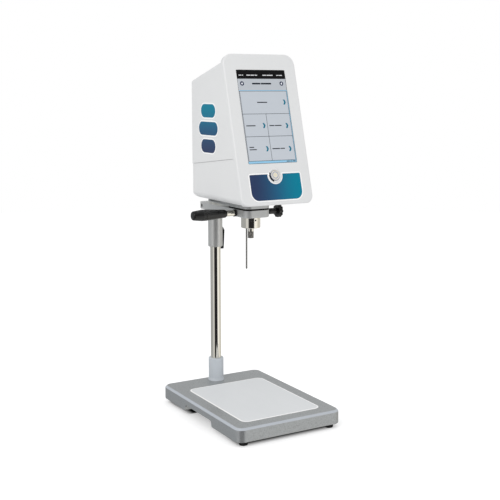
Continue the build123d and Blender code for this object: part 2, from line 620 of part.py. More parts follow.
def mount_screws():
    """Four socket-head screws from the plate up into the chassis."""
    screw = disc(PLATE_SCREW_RADIUS * 1.8, PLATE_BOTTOM, PLATE_BOTTOM + PLATE_SCREW_HEAD)
    screw += disc(PLATE_SCREW_RADIUS, PLATE_BOTTOM + 1, CHASSIS_TOP)
    screw -= Pos(0, 0, PLATE_BOTTOM) * extrude(RegularPolygon(PLATE_SCREW_RADIUS * 0.9, 6), 1.8)
    return group(Pos(x, y, 0) * screw for x, y in plate_screw_places())


def grub_bar(start, end):
    """Bar of the grub screw's size through the front of the ring, from the spindle's axis outwards."""
    return SPINDLE_AXIS * Rot(0, 0, -90) * crossbar(GRUB_RADIUS, start, end, 0, ARM_BOTTOM - GRUB_DROP)


def measuring_ring():
    """Polished ring round the coupling; its spigot is held in the arm's bore by the lock knob."""
    bottom = ARM_BOTTOM - RING_DROP
    ring = disc(RING_RADIUS, bottom, ARM_BOTTOM) + disc(SOCKET_RADIUS, ARM_BOTTOM - 1, ARM_TOP - SPIGOT_SHORT)
    ring = chamfer(ring.edges().group_by(Axis.Z)[0], RING_BREAK)
    ring -= disc(RING_BORE, bottom - 1, ARM_TOP)
    return SPINDLE_AXIS * ring - grub_bar(RING_BORE - 2, RING_RADIUS + 1)


def ring_grub_screw():
    """Grub screw in the front of the ring, sunk below its surface."""
    return grub_bar(RING_BORE + 0.2, RING_RADIUS - 1.0)


def probe_holder():
    """Plastic insert in the block's bore that carries the probe beside the shaft."""
    insert = disc(SOCKET_RADIUS, BLOCK_BOTTOM, PLATE_BOTTOM) - disc(SHAFT_RADIUS + 2.0, ARM_TOP, HEAD_BOTTOM)
    return SPINDLE_AXIS * (insert - Pos(PROBE_SIDE, PROBE_BACK, 0) * disc(PROBE_RADIUS, ARM_TOP, HEAD_BOTTOM))


def temperature_probe():
    """Thin steel probe with a rounded tip, hung behind the spindle inside the ring."""
    probe = disc(PROBE_RADIUS, PROBE_BOTTOM, PLATE_BOTTOM)
    probe = fillet(probe.edges().group_by(Axis.Z)[0], PROBE_RADIUS * 0.9)
    return SPINDLE_AXIS * Pos(PROBE_SIDE, PROBE_BACK, 0) * probe


# ---- Handle and lock knob ----------------------------------------------------------------------------
def handle_seat():
    """Black collar between the arm's side and the handle rod."""
    start = -ARM_WIDTH / 2
    end = start - HANDLE_SEAT_LENGTH
    seat = crossbar(HANDLE_SEAT_RADIUS, start, end, HANDLE_Y, ARM_MID)
    return seat - crossbar(HANDLE_STUD_RADIUS, start + 1, end - 1, HANDLE_Y, ARM_MID)


def handle_rod():
    """Bright rod screwed into the arm, with a spigot inside the grip."""
    seat = -ARM_WIDTH / 2 - HANDLE_SEAT_LENGTH
    end = seat - HANDLE_ROD_LENGTH
    rod = crossbar(HANDLE_STUD_RADIUS, -SOCKET_RADIUS - 1.0, seat - 1, HANDLE_Y, ARM_MID)
    rod += crossbar(HANDLE_ROD_RADIUS, seat, end, HANDLE_Y, ARM_MID)
    spigot_end = end - GRIP_LENGTH + GRIP_SPIGOT_END
    return rod + crossbar(HANDLE_SPIGOT_RADIUS, end + 1, spigot_end, HANDLE_Y, ARM_MID)


def turned(points, start_x):
    """Piece of revolution along -X from (distance, radius) points."""
    profile = make_face(Polyline((0, 0), *points, (points[-1][0], 0), close=True))
    return Pos(start_x, HANDLE_Y, ARM_MID) * Rot(0, 0, 180) * revolve(profile, Axis.X)


def handle_grip():
    """Black grip that widens away from the arm, with a round shoulder at its start."""
    start = -ARM_WIDTH / 2 - HANDLE_SEAT_LENGTH - HANDLE_ROD_LENGTH
    grip = turned([(0, GRIP_START_RADIUS), (GRIP_LENGTH, GRIP_END_RADIUS)], start)
    grip = fillet(grip.edges().group_by(Axis.X)[-1], GRIP_START_RADIUS / 2)
    bore_end = start - GRIP_LENGTH + GRIP_SPIGOT_END - 1.0
    return grip - crossbar(HANDLE_SPIGOT_RADIUS, start + 1, bore_end, HANDLE_Y, ARM_MID)


def handle_end_cap():
    """End of the grip: a fine groove, a straight stretch and a taper to a rounded tip."""
    start = -ARM_WIDTH / 2 - HANDLE_SEAT_LENGTH - HANDLE_ROD_LENGTH - GRIP_LENGTH
    outline = [
        (0, GRIP_END_RADIUS - CAP_GROOVE),
        (CAP_GROOVE, GRIP_END_RADIUS),
        (END_CAP_STRAIGHT, GRIP_END_RADIUS),
        (END_CAP_LENGTH, END_CAP_TIP_RADIUS),
    ]
    cap = turned(outline, start)
    return fillet(cap.edges().group_by(Axis.X)[0], END_CAP_ROUND)


def lock_stud():
    """Screw of the lock knob, ending just short of the measuring ring's spigot."""
    tip = SOCKET_RADIUS + KNOB_STUD_GAP
    return crossbar(KNOB_NECK_RADIUS - SLIDE_GAP, tip, KNOB_FACE_X + KNOB_THICK / 2, SPINDLE_Y, ARM_MID)


def lock_knob():
    """Black fluted knob with a long neck, on its stud."""
    flutes = PolarLocations(KNOB_RADIUS + FLUTE_RADIUS / 4, KNOB_FLUTES) * Circle(FLUTE_RADIUS)
    head = extrude(Circle(KNOB_RADIUS) - flutes, KNOB_THICK)
    head = chamfer(head.edges().group_by(Axis.Z)[-1], KNOB_EDGE)
    knob = head + disc(KNOB_HUB_RADIUS, -KNOB_HUB_LENGTH, 1.0)
    knob -= disc(KNOB_NECK_RADIUS - SLIDE_GAP, -KNOB_HUB_LENGTH - 1, KNOB_THICK / 2)
    return Pos(KNOB_FACE_X, SPINDLE_Y, ARM_MID) * Rot(0, 90, 0) * knob


# ---- Head housing ---------------------------------------------------------------------------------------
def head_form(side, floor):
    """Solid form of the head behind its bezel.

    side draws the walls and lid in, floor lifts the underside. It is where four plain forms
    meet: a trough with round lower sides, a side view with a large lower rear corner, a plan
    with round rear corners, and a wide drum, square to the leaning face, that arches the lid.
    The lid's shoulders are then rounded.
    """
    half = COVER_HALF - side
    deep = HEAD_DEPTH + FACE_LENGTH
    rear = HEAD_REAR - side
    low = HEAD_BOTTOM + floor
    high = low + FACE_LENGTH * 1.2

    section = Rectangle(2 * half, high - low)
    section = fillet(section.vertices().group_by(Axis.Y)[0], LOWER_SIDE_RADIUS - side)
    trough = Pos(0, 0, (low + high) / 2) * Rot(90, 0, 0) * extrude(section, deep, both=True)

    side_view = make_face(Polyline((-deep, low), (rear, low), (rear, high), (-deep, high), close=True))
    corner = side_view.vertices().group_by(Axis.X)[-1].group_by(Axis.Y)[0]
    side_view = fillet(corner, LOWER_REAR_RADIUS - side)
    profile = extrude(Plane.YZ * side_view, HEAD_WIDTH, both=True)

    plan = make_face(Polyline((-half, -deep), (half, -deep), (half, rear), (-half, rear), close=True))
    plan = fillet(plan.vertices().group_by(Axis.Y)[-1], REAR_EDGE_RADIUS - side)
    upright = Pos(0, 0, low) * extrude(plan, high - low)

    drum = FACE * Pos(0, LID_CROWN - LID_RADIUS) * extrude(Circle(LID_RADIUS - side), -deep)

    def is_shoulder(edge):
        middle = edge.center()
        up_the_face = FACE.to_local_coords(middle).Y
        return abs(abs(middle.X) - half) < 0.01 and up_the_face > LID_CROWN - 2 * ARCH_RISE

    form = trough & profile & upright & drum
    form = fillet(form.edges().filter_by(is_shoulder), SHOULDER_RADIUS - side)
    return split(form, bisect_by=FACE.offset(-BEZEL_DEPTH), keep=Keep.BOTTOM)


def housing_shell():
    """White upper cover with an arched lid, open in front for the bezel and below for the tray."""
    shell = head_form(0, 0) - head_form(COVER_WALL, 0)
    return split(shell, bisect_by=SEAM.offset(SEAM_GAP), keep=Keep.TOP)


def rear_ports():
    """Power and data sockets low on the rear of the tray: (x, height, width, tall)."""
    height = HEAD_BOTTOM + SEAM_REAR_HEIGHT / 2 + 6.0
    return [(-22.0, height, 11.0, 11.0), (22.0, height, 13.0, 12.0)]


def housing_tray():
    """White lower tray; a lip on it locates the cover."""
    tray = head_form(TRAY_STEP, 0) - head_form(TRAY_STEP + COVER_WALL, COVER_WALL)
    tray = split(tray, bisect_by=SEAM, keep=Keep.BOTTOM)
    lip = head_form(COVER_WALL, COVER_WALL) - head_form(COVER_WALL + LIP_THICK, COVER_WALL)
    lip = split(lip, bisect_by=SEAM.offset(-LIP_HEIGHT), keep=Keep.TOP)
    tray += split(lip, bisect_by=SEAM.offset(LIP_HEIGHT), keep=Keep.BOTTOM)
    tray -= SPINDLE_AXIS * disc(BEARING_TUBE_RADIUS, HEAD_BOTTOM - 1, CHASSIS_BOTTOM + 1)
    for x, y in plate_screw_places():
        tray -= Pos(x, y, 0) * disc(PLATE_SCREW_RADIUS, HEAD_BOTTOM - 1, CHASSIS_BOTTOM + 1)
    for x, height, width, tall in rear_ports():
        tray -= Pos(x, HEAD_REAR - COVER_WALL / 2, height) * Box(width, 4 * COVER_WALL, tall)
    return tray


def front_outline(inset):
    """Outline of the front face, drawn in by inset."""
    width = HEAD_WIDTH - 2 * inset
    tall = FACE_LENGTH - 2 * inset
    shape = Pos(0, FACE_LENGTH / 2) * Rectangle(width, tall)
    shape = fillet(shape.vertices().group_by(Axis.Y)[-1], max(FACE_CORNER_TOP - inset, 1.0))
    return fillet(shape.vertices().group_by(Axis.Y)[0], max(FACE_CORNER_BOTTOM - inset, 1.0))


def screen_outline(grow):
    """Screen rectangle on the face, grown by a margin."""
    centre = SCREEN_UP + SCREEN_HEIGHT / 2
    return Pos(0, centre) * RectangleRounded(SCREEN_WIDTH + 2 * grow, SCREEN_HEIGHT + 2 * grow, 1.0)


def panel_outline(shrink):
    """Accent panel: square shoulders, large lower corners and a round notch for the button."""
    centre = PANEL_UP + PANEL_HEIGHT / 2
    shape = Pos(0, centre) * Rectangle(PANEL_WIDTH - 2 * shrink, PANEL_HEIGHT - 2 * shrink)
    shape = fillet(shape.vertices().group_by(Axis.Y)[0], PANEL_LOWER_RADIUS - shrink)
    shape = fillet(shape.vertices().group_by(Axis.Y)[-1], PANEL_UPPER_RADIUS)
    return shape - Pos(0, BUTTON_UP) * Circle(PANEL_NOTCH_RADIUS + shrink)


def front_bezel():
    """White front frame: a shallow leaning tray with a stepped window, a panel pocket and a button hole."""
    bezel = extrude(FACE * front_outline(0), -BEZEL_DEPTH)
    front_rim = bezel.edges().filter_by(lambda e: abs(FACE.to_local_coords(e.center()).Z) < 0.01)
    bezel = fillet(front_rim, BEZEL_EDGE)
    cavity = extrude(FACE.offset(-BEZEL_FRONT_WALL) * front_outline(COVER_WALL), -BEZEL_DEPTH)
    bezel -= cavity
    bezel -= extrude(FACE * screen_outline(0), -GLASS_SINK - GLASS_THICK)
    bezel -= extrude(FACE * screen_outline(-LEDGE_WIDTH), -2 * BEZEL_DEPTH)
    bezel -= extrude(FACE * panel_outline(0), -PANEL_THICK + PANEL_PROUD)
    hole_radius = BUTTON_RADIUS + BUTTON_GAP + BUTTON_COLLAR_WALL
    bezel -= on_face(0, BUTTON_UP) * disc(hole_radius, -2 * BEZEL_DEPTH, 1)
    floor = Pos(0, 0, HEAD_BOTTOM) * Box(
        4 * HEAD_WIDTH, 4 * HEAD_DEPTH, 2 * FACE_LENGTH, align=(Align.CENTER, Align.CENTER, Align.MIN)
    )
    return bezel & floor


def touch_glass():
    """Glass seated on the window's ledge."""
    return extrude(FACE.offset(-GLASS_SINK) * screen_outline(-GLASS_GAP), -GLASS_THICK)


def display_module():
    """Display behind the ledge."""
    top = -BEZEL_FRONT_WALL
    return extrude(FACE.offset(top) * screen_outline(LEDGE_WIDTH / 2), -DISPLAY_THICK)


def accent_panel():
    """Coloured foil panel in its shallow pocket."""
    return extrude(FACE.offset(PANEL_PROUD) * panel_outline(PANEL_GAP), -PANEL_THICK)


def button_bezel():
    """Bright ring round the button."""
    bore = BUTTON_RADIUS + BUTTON_GAP
    collar = tube(bore + BUTTON_COLLAR_WALL, bore, -BEZEL_FRONT_WALL, BUTTON_RING_THICK / 2)
    flange = tube(BUTTON_RING_RADIUS, bore, 0, BUTTON_RING_THICK)
    flange = chamfer(flange.edges().filter_by(GeomType.CIRCLE).group_by(Axis.Z)[-1], BUTTON_RING_EDGE)
    return on_face(0, BUTTON_UP) * (collar + flange)


def button_cap():
    """Push button with a shallow dish."""
    cap = disc(BUTTON_RADIUS, -BEZEL_FRONT_WALL + 1.0, BUTTON_PROUD)
    cap = fillet(cap.edges().group_by(Axis.Z)[-1], 0.7)
    dish = Pos(0, 0, BUTTON_PROUD + 4 * BUTTON_RADIUS - 0.5) * Sphere(4 * BUTTON_RADIUS)
    stem = disc(BUTTON_RADIUS / 3, -BEZEL_DEPTH, -BEZEL_FRONT_WALL + 1.5)
    return on_face(0, BUTTON_UP) * (cap - dish + stem)


def button_switch():
    """Switch cup against the back of the frame, with room for the cap and its stem."""
    top = -BEZEL_FRONT_WALL
    deep = BEZEL_DEPTH + BUTTON_TRAVEL + 3.0
    width = 2 * BUTTON_RADIUS + 6.0
    body = Pos(0, 0, (top - deep) / 2) * Box(width, width, deep + top)
    well = disc(BUTTON_RADIUS + BUTTON_GAP, top - BUTTON_TRAVEL, top + 1)
    stem_well = disc(BUTTON_RADIUS / 3 + BUTTON_GAP, -BEZEL_DEPTH - BUTTON_TRAVEL - 0.5, top + 1)
    return on_face(0, BUTTON_UP) * (body - well - stem_well)


# ---- Inside the head ---------------------------------------------------------------------------------
def chassis_plate():
    """Bent steel chassis: floor plate with an upright behind the motor."""
    front = SPINDLE_Y - PLATE_FRONT - CHASSIS_NOSE
    rear = SPINDLE_Y + PLATE_REAR - CHASSIS_SETBACK
    profile = make_face(
        Polyline(
            (front, CHASSIS_BOTTOM),
            (rear, CHASSIS_BOTTOM),
            (rear, CHASSIS_BOTTOM + CHASSIS_HEIGHT),
            (rear - CHASSIS_THICK, CHASSIS_BOTTOM + CHASSIS_HEIGHT),
            (rear - CHASSIS_THICK, CHASSIS_TOP),
            (front, CHASSIS_TOP),
            close=True,
        )
    )
    rear_corner = profile.vertices().group_by(Axis.Y)[0].sort_by(Axis.X)[-1:]
    profile = fillet(rear_corner, CHASSIS_BEND + CHASSIS_THICK)
    chassis = extrude(Plane.YZ * profile, CHASSIS_WIDTH / 2, both=True)
    chassis -= SPINDLE_AXIS * disc(BEARING_TUBE_RADIUS, CHASSIS_BOTTOM - 1, CHASSIS_TOP + 1)
    for x, y in plate_screw_places():
        chassis -= Pos(x, y, 0) * disc(PLATE_SCREW_RADIUS, CHASSIS_BOTTOM - 1, CHASSIS_TOP + 1)
    return chassis


def bearing_housing():
    """Flanged tube that holds both spindle bearings, down through the chassis and plate."""
    body = disc(BEARING_TUBE_RADIUS, PLATE_BOTTOM, TUBE_TOP)
    body += disc(BEARING_FLANGE_RADIUS, CHASSIS_TOP, CHASSIS_TOP + BEARING_FLANGE_THICK)
    body -= disc(BEARING_RADIUS - BEARING_LIP, PLATE_BOTTOM - 1, TUBE_TOP + 1)
    body -= disc(BEARING_RADIUS, PLATE_BOTTOM - 1, PLATE_BOTTOM + BEARING_WIDTH)
    body -= disc(BEARING_RADIUS, TUBE_TOP - BEARING_WIDTH, TUBE_TOP + 1)
    return SPINDLE_AXIS * body


def spindle_bearings():
    """Lower and upper ball bearing of the spindle, each as one ring."""
    ring = tube(BEARING_RADIUS, SHAFT_RADIUS + SLIDE_GAP, 0, BEARING_WIDTH)
    places = (PLATE_BOTTOM, TUBE_TOP - BEARING_WIDTH)
    return group(SPINDLE_AXIS * Pos(0, 0, z) * ring for z in places)


def motor_posts():
    """Four posts that carry the motor plate."""
    post = disc(POST_RADIUS, CHASSIS_TOP, MOTOR_PLATE_BOTTOM)
    half = MOTOR_PLATE_HALF - POST_RADIUS - 1.0
    return group(SPINDLE_AXIS * Pos(x, y, 0) * post for x, y in corners(half, half))


def motor_plate():
    """Square plate under the motor."""
    plate = slab(2 * MOTOR_PLATE_HALF, 2 * MOTOR_PLATE_HALF, 4.0, MOTOR_PLATE_BOTTOM, MOTOR_BOTTOM)
    return SPINDLE_AXIS * (plate - disc(HUB_RADIUS, MOTOR_PLATE_BOTTOM - 1, MOTOR_BOTTOM + 1))


def drive_motor():
    """Motor can with an end boss, above its plate."""
    can = disc(MOTOR_RADIUS, MOTOR_BOTTOM, MOTOR_BOTTOM + MOTOR_LENGTH)
    can = fillet(can.edges().group_by(Axis.Z)[-1], 2.0)
    bore = disc(MOTOR_SHAFT_RADIUS + SLIDE_GAP, MOTOR_BOTTOM - 1, MOTOR_BOTTOM + MOTOR_LENGTH / 2)
    return SPINDLE_AXIS * (can - bore)


def encoder_reader():
    """Forked light gate over the disc's rim, on a post from the chassis."""
    disc_middle = TUBE_TOP + DISC_ABOVE_TUBE + DISC_THICK / 2
    tall = DISC_THICK + 2 * GATE_WALL
    gate_x = DISC_RADIUS - GATE_WALL + GATE_REACH / 2
    gate = Pos(gate_x, 0, disc_middle) * Box(GATE_REACH, GATE_WIDTH, tall)
    gate -= Pos(gate_x - GATE_WALL, 0, disc_middle) * Box(GATE_REACH, GATE_WIDTH + 2.0, DISC_THICK + 3.0)
    post_top = disc_middle - tall / 2 + 1.0
    post = Box(GATE_WALL, GATE_WIDTH, post_top - CHASSIS_TOP)
    post_x = gate_x + (GATE_REACH - GATE_WALL) / 2
    return SPINDLE_AXIS * (gate + Pos(post_x, 0, (post_top + CHASSIS_TOP) / 2) * post)


def board_middle():
    """Height of the main board's middle."""
    return CHASSIS_TOP + BOARD_LIFT + BOARD_HEIGHT / 2


def board_standoffs():
    """Four spacers between the chassis upright and the main board."""
    face = SPINDLE_Y + PLATE_REAR - CHASSIS_SETBACK - CHASSIS_THICK
    spacer = Rot(90, 0, 0) * disc(STANDOFF_RADIUS, 0, STANDOFF_LENGTH)
    places = corners(BOARD_WIDTH / 2 - BOARD_HOLE_INSET, BOARD_HEIGHT / 2 - BOARD_HOLE_INSET)
    return group(Pos(x, face, board_middle() + z) * spacer for x, z in places)


def main_board():
    """Control board with a processor, a capacitor and a connector on its front."""
    back = SPINDLE_Y + PLATE_REAR - CHASSIS_SETBACK - CHASSIS_THICK - STANDOFF_LENGTH
    front = back - BOARD_THICK
    middle = board_middle()
    board = Pos(0, back - BOARD_THICK / 2, middle) * Box(BOARD_WIDTH, BOARD_THICK, BOARD_HEIGHT)
    chip_x = BOARD_WIDTH / 2 - BOARD_HOLE_INSET - 1.5 * CHIP_SIDE
    chip = Pos(chip_x, front - CHIP_THICK / 2 + 0.1, middle) * Box(CHIP_SIDE, CHIP_THICK, CHIP_SIDE)
    header_z = middle - BOARD_HEIGHT / 2 + HEADER_HEIGHT
    header = Box(HEADER_LENGTH, HEADER_HEIGHT, HEADER_HEIGHT)
    header = Pos(0, front - HEADER_HEIGHT / 2 + 0.1, header_z) * header
    can = Rot(90, 0, 0) * disc(CAN_RADIUS, 0, CAN_HEIGHT)
    can_x = BOARD_HOLE_INSET + 3 * CAN_RADIUS - BOARD_WIDTH / 2
    return board + chip + header + Pos(can_x, front + 0.1, middle + 2 * CAN_RADIUS) * can


def in_rear_port(port, socket):
    """A socket set flush in one of the tray's rear ports; its mouth faces the rear."""
    x, height, width, tall = port
    return Pos(x, HEAD_REAR - TRAY_STEP - PORT_DEPTH / 2, height) * socket


def power_inlet():
    """Round low-voltage socket with its centre pin, in the rear of the tray."""
    port = rear_ports()[0]
    rear = PORT_DEPTH / 2
    mouth = crossbar(JACK_RADIUS, rear - JACK_DEPTH, rear + 1.0, 0, 0)
    pin = crossbar(JACK_PIN_RADIUS, rear - JACK_DEPTH - 1.0, rear - 1.0, 0, 0)
    body = Box(port[2], PORT_DEPTH, port[3]) - Rot(0, 0, 90) * mouth
    return in_rear_port(port, body + Rot(0, 0, 90) * pin)


def data_port():
    """Square data socket with its tongue, in the rear of the tray."""
    port = rear_ports()[1]
    x, height, width, tall = port
    deep = PORT_DEPTH - 2 * DATA_WALL
    mouth = Pos(0, DATA_WALL + 1.0, 0) * Box(width - 2 * DATA_WALL, deep + 2.0, tall - 2 * DATA_WALL)
    margin = DATA_WALL + DATA_TONGUE_GAP
    tongue = Box(width - 2 * margin, deep, tall - 2 * margin)
    return in_rear_port(port, Box(width, PORT_DEPTH, tall) - mouth + tongue)


# ---- Turning spindle ------------------------------------------------------------------------------------
def spindle_shaft():
    """Hardened shaft from the coupling up to the drive hub."""
    bottom = COUPLING_BOTTOM + COUPLING_SOCKET_DEPTH + SHAFT_END_GAP
    return SPINDLE_AXIS * disc(SHAFT_RADIUS, bottom, MOTOR_PLATE_BOTTOM - HUB_LENGTH / 2)


def spindle_coupling():
    """Polished coupling on the shaft's end."""
    bottom = COUPLING_BOTTOM + KNURL_LENGTH
    coupling = disc(COUPLING_RADIUS, bottom, ARM_BOTTOM - COUPLING_TOP_GAP)
    coupling -= disc(SHAFT_RADIUS, bottom - 1, ARM_BOTTOM)
    return SPINDLE_AXIS * coupling


def coupling_nut():
    """Knurled lower end of the coupling, with the socket that takes a measuring spindle."""
    top = COUPLING_BOTTOM + KNURL_LENGTH
    groove = Circle(COUPLING_RADIUS * 0.075)
    outline = Circle(COUPLING_RADIUS) - PolarLocations(COUPLING_RADIUS, KNURL_TEETH) * groove
    nut = Pos(0, 0, COUPLING_BOTTOM) * extrude(outline, KNURL_LENGTH)
    nut -= disc(COUPLING_SOCKET_RADIUS, COUPLING_BOTTOM - 1, COUPLING_BOTTOM + COUPLING_SOCKET_DEPTH)
    nut -= disc(SHAFT_RADIUS, COUPLING_BOTTOM + COUPLING_SOCKET_DEPTH + SHAFT_END_GAP, top + 1)
    return SPINDLE_AXIS * nut


def encoder_disc():
    """Thin slotted disc on the shaft above the upper bearing."""
    bottom = TUBE_TOP + DISC_ABOVE_TUBE
    plate = tube(DISC_RADIUS, SHAFT_RADIUS, bottom, bottom + DISC_THICK)
    window = Pos(DISC_RADIUS * 0.86, 0, bottom) * Box(DISC_RADIUS * 0.12, 1.2, 4 * DISC_THICK)
    plate -= PolarLocations(0, KNURL_TEETH) * window
    return SPINDLE_AXIS * (plate + tube(SHAFT_RADIUS * 1.8, SHAFT_RADIUS, bottom - 3.0, bottom + 0.1))


def drive_hub():
    """Hub that joins the motor's shaft to the spindle's."""
    top = MOTOR_PLATE_BOTTOM - 0.5
    hub = disc(HUB_RADIUS, top - HUB_LENGTH, top)
    hub -= disc(SHAFT_RADIUS, top - HUB_LENGTH - 1, MOTOR_PLATE_BOTTOM - HUB_LENGTH / 2)
    return SPINDLE_AXIS * (hub - disc(MOTOR_SHAFT_RADIUS, MOTOR_PLATE_BOTTOM - HUB_LENGTH / 2 - 0.1, top + 1))


def motor_shaft():
    """The motor's own shaft, from the hub up into its can."""
    bottom = MOTOR_PLATE_BOTTOM - HUB_LENGTH / 2
    return SPINDLE_AXIS * disc(MOTOR_SHAFT_RADIUS, bottom, MOTOR_BOTTOM + MOTOR_LENGTH / 2 - 1.0)


PIECES = [
    base_casting, bench_mat, rubber_feet, foot_screws, column_collar, column_rod, column_washer,
    column_bolt, column_cap, sleeve_liner, clamp_sleeve, clamp_stud, clamp_nut, clamp_lever,
    support_arm, arm_set_screw, arm_gasket, foot_block, mount_plate, mount_screws, measuring_ring,
    ring_grub_screw, probe_holder, temperature_probe, handle_seat, handle_rod, handle_grip, handle_end_cap,
    lock_stud, lock_knob, housing_shell, housing_tray, front_bezel, touch_glass, display_module,
    accent_panel, button_bezel, button_cap, button_switch, chassis_plate, bearing_housing,
    spindle_bearings, motor_posts, motor_plate, drive_motor, encoder_reader, board_standoffs,
    main_board, power_inlet, data_port, spindle_shaft, spindle_coupling, coupling_nut,
    encoder_disc, drive_hub, motor_shaft,
]

if __name__ == "__main__":
    os.makedirs("parts", exist_ok=True)
    shapes = {piece.__name__: piece() for piece in PIECES}
    box = Compound(list(shapes.values())).bounding_box()
    to_origin = Pos(-(box.min.X + box.max.X) / 2, -(box.min.Y + box.max.Y) / 2, -box.min.Z)
    print("origin moved by", to_origin.position)
    for name, shape in shapes.items():
        export_step(to_origin * shape, f"parts/{name}.step")
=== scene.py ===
# %% [markdown]
# # A rotational viscometer on its stand
# This instrument measures how thick a liquid is: a motor in the white head turns a spindle in a
# beaker on the base. The rigid model is already made in CAD and is loaded here as a fixed frame.
# What is left for Blender is what the eye reads as real: paint, steel, moulded plastic, the picture
# on the screen, the printed accents, threads and knurls, and the light.

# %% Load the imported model
import math

import bmesh
import bpy
from mathutils import Matrix, Vector


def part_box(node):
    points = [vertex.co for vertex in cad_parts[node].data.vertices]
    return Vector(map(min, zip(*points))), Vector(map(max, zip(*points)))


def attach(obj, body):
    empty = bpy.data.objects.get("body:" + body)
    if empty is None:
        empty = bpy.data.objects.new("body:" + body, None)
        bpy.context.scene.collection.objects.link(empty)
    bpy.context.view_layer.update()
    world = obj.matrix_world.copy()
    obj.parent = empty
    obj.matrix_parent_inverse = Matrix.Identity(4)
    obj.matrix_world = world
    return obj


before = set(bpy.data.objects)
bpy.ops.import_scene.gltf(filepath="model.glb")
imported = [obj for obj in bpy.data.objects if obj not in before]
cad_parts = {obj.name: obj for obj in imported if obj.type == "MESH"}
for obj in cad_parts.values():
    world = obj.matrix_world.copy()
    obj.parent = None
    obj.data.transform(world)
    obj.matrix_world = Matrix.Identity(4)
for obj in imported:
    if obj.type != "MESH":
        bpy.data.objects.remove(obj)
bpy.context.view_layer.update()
MM = 0.001
scene = bpy.context.scene

# %% [markdown]
# ## Camera
# A product picture of a tall, thin object is taken from well back with a long lens, so that upright
# edges stay nearly parallel. The camera stands 1.7 m away, thirty degrees to the left of the screen
# and a little above the middle, and looks slightly down.

# %% Camera
EYE = Vector((-815.75, -1414.65, 562.9)) * MM
LOOK_AT = Vector((6.25, -2.25, 291.2)) * MM

camera_data = bpy.data.cameras.new("camera")
camera_data.sensor_width = 36.0
camera_data.lens = 69.7
camera_data.clip_start = 0.05
camera_data.clip_end = 50.0
camera = bpy.data.objects.new("camera", camera_data)
camera.location = EYE
camera.rotation_euler = (LOOK_AT - EYE).to_track_quat("-Z", "Y").to_euler()
scene.collection.objects.link(camera)
scene.camera = camera
scene.view_settings.view_transform = "Standard"
print("camera distance in m:", round((LOOK_AT - EYE).length, 3))

# %% [markdown]
# ## Writing shader maths as Python
# A node tree soon hides what it works out. One small class wraps a socket and overloads Python's
# operators, so a mask can be written as an expression and each operator adds its Math node. Every
# other kind of node comes from one method that sets the node's settings first and its sockets next.

# %% Sockets that can be added and multiplied
class Wire:
    """One value on its way through a node tree."""

    def __init__(self, nodes, socket):
        self.nodes = nodes
        self.socket = socket

    def math(self, operation, *others):
        return self.nodes.node("Math", dict(enumerate((self, *others))), operation=operation)

    def __add__(self, other):
        return self.math("ADD", other)

    __radd__ = __add__

    def __sub__(self, other):
        return self.math("SUBTRACT", other)

    def __rsub__(self, other):
        return self.nodes.node("Math", {0: other, 1: self}, operation="SUBTRACT")

    def __mul__(self, other):
        return self.math("MULTIPLY", other)

    __rmul__ = __mul__

    def __truediv__(self, other):
        return self.math("DIVIDE", other)

    def __abs__(self):
        return self.math("ABSOLUTE")

    def sine(self):
        return self.math("SINE")

    def larger(self, other):
        return self.math("MAXIMUM", other)

    def rise(self, start, end):
        """0 before start, 1 after end and a soft ramp between them."""
        sockets = {"Value": self, "From Min": start, "From Max": end}
        return self.nodes.node("MapRange", sockets, interpolation_type="SMOOTHSTEP")


class Nodes:
    """A node tree that hands out wires."""

    def __init__(self, tree):
        self.tree = tree

    def node(self, kind, sockets=None, out=0, stops=None, **settings):
        made = self.tree.nodes.new("ShaderNode" + kind)
        for key, value in settings.items():
            setattr(made, key, value)
        if stops:
            ramp = made.color_ramp.elements
            while len(ramp) < len(stops):
                ramp.new(0.5)
            for element, (position, colour) in zip(ramp, stops):
                element.position = position
                element.color = colour
        for key, value in (sockets or {}).items():
            if isinstance(value, Wire):
                self.tree.links.new(value.socket, made.inputs[key])
            else:
                made.inputs[key].default_value = value
        return Wire(self, made.outputs[out])

    def blend(self, factor, first, second):
        """Mixes two colours."""
        sockets = {0: factor, 6: first, 7: second}
        return self.node("Mix", sockets, out=2, data_type="RGBA", clamp_factor=True)


def tone(red, green, blue):
    """A colour as an eye picks it from a swatch, 0 to 255, turned into the renderer's linear light."""
    channels = []
    for value in (red, green, blue):
        value = value / 255
        channels.append(value / 12.92 if value <= 0.04045 else ((value + 0.055) / 1.055) ** 2.4)
    return (*channels, 1.0)


print("mid grey in linear light:", round(tone(128, 128, 128)[0], 3))

# %% [markdown]
# ## A finish
# Each material is one Principled shader and the nodes that drive it. All patterns are placed with
# Object coordinates. Every part sits at the scene's origin with its place in its mesh, so a pattern
# is measured in metres from the middle of the footprint and keeps its true scale on every part.

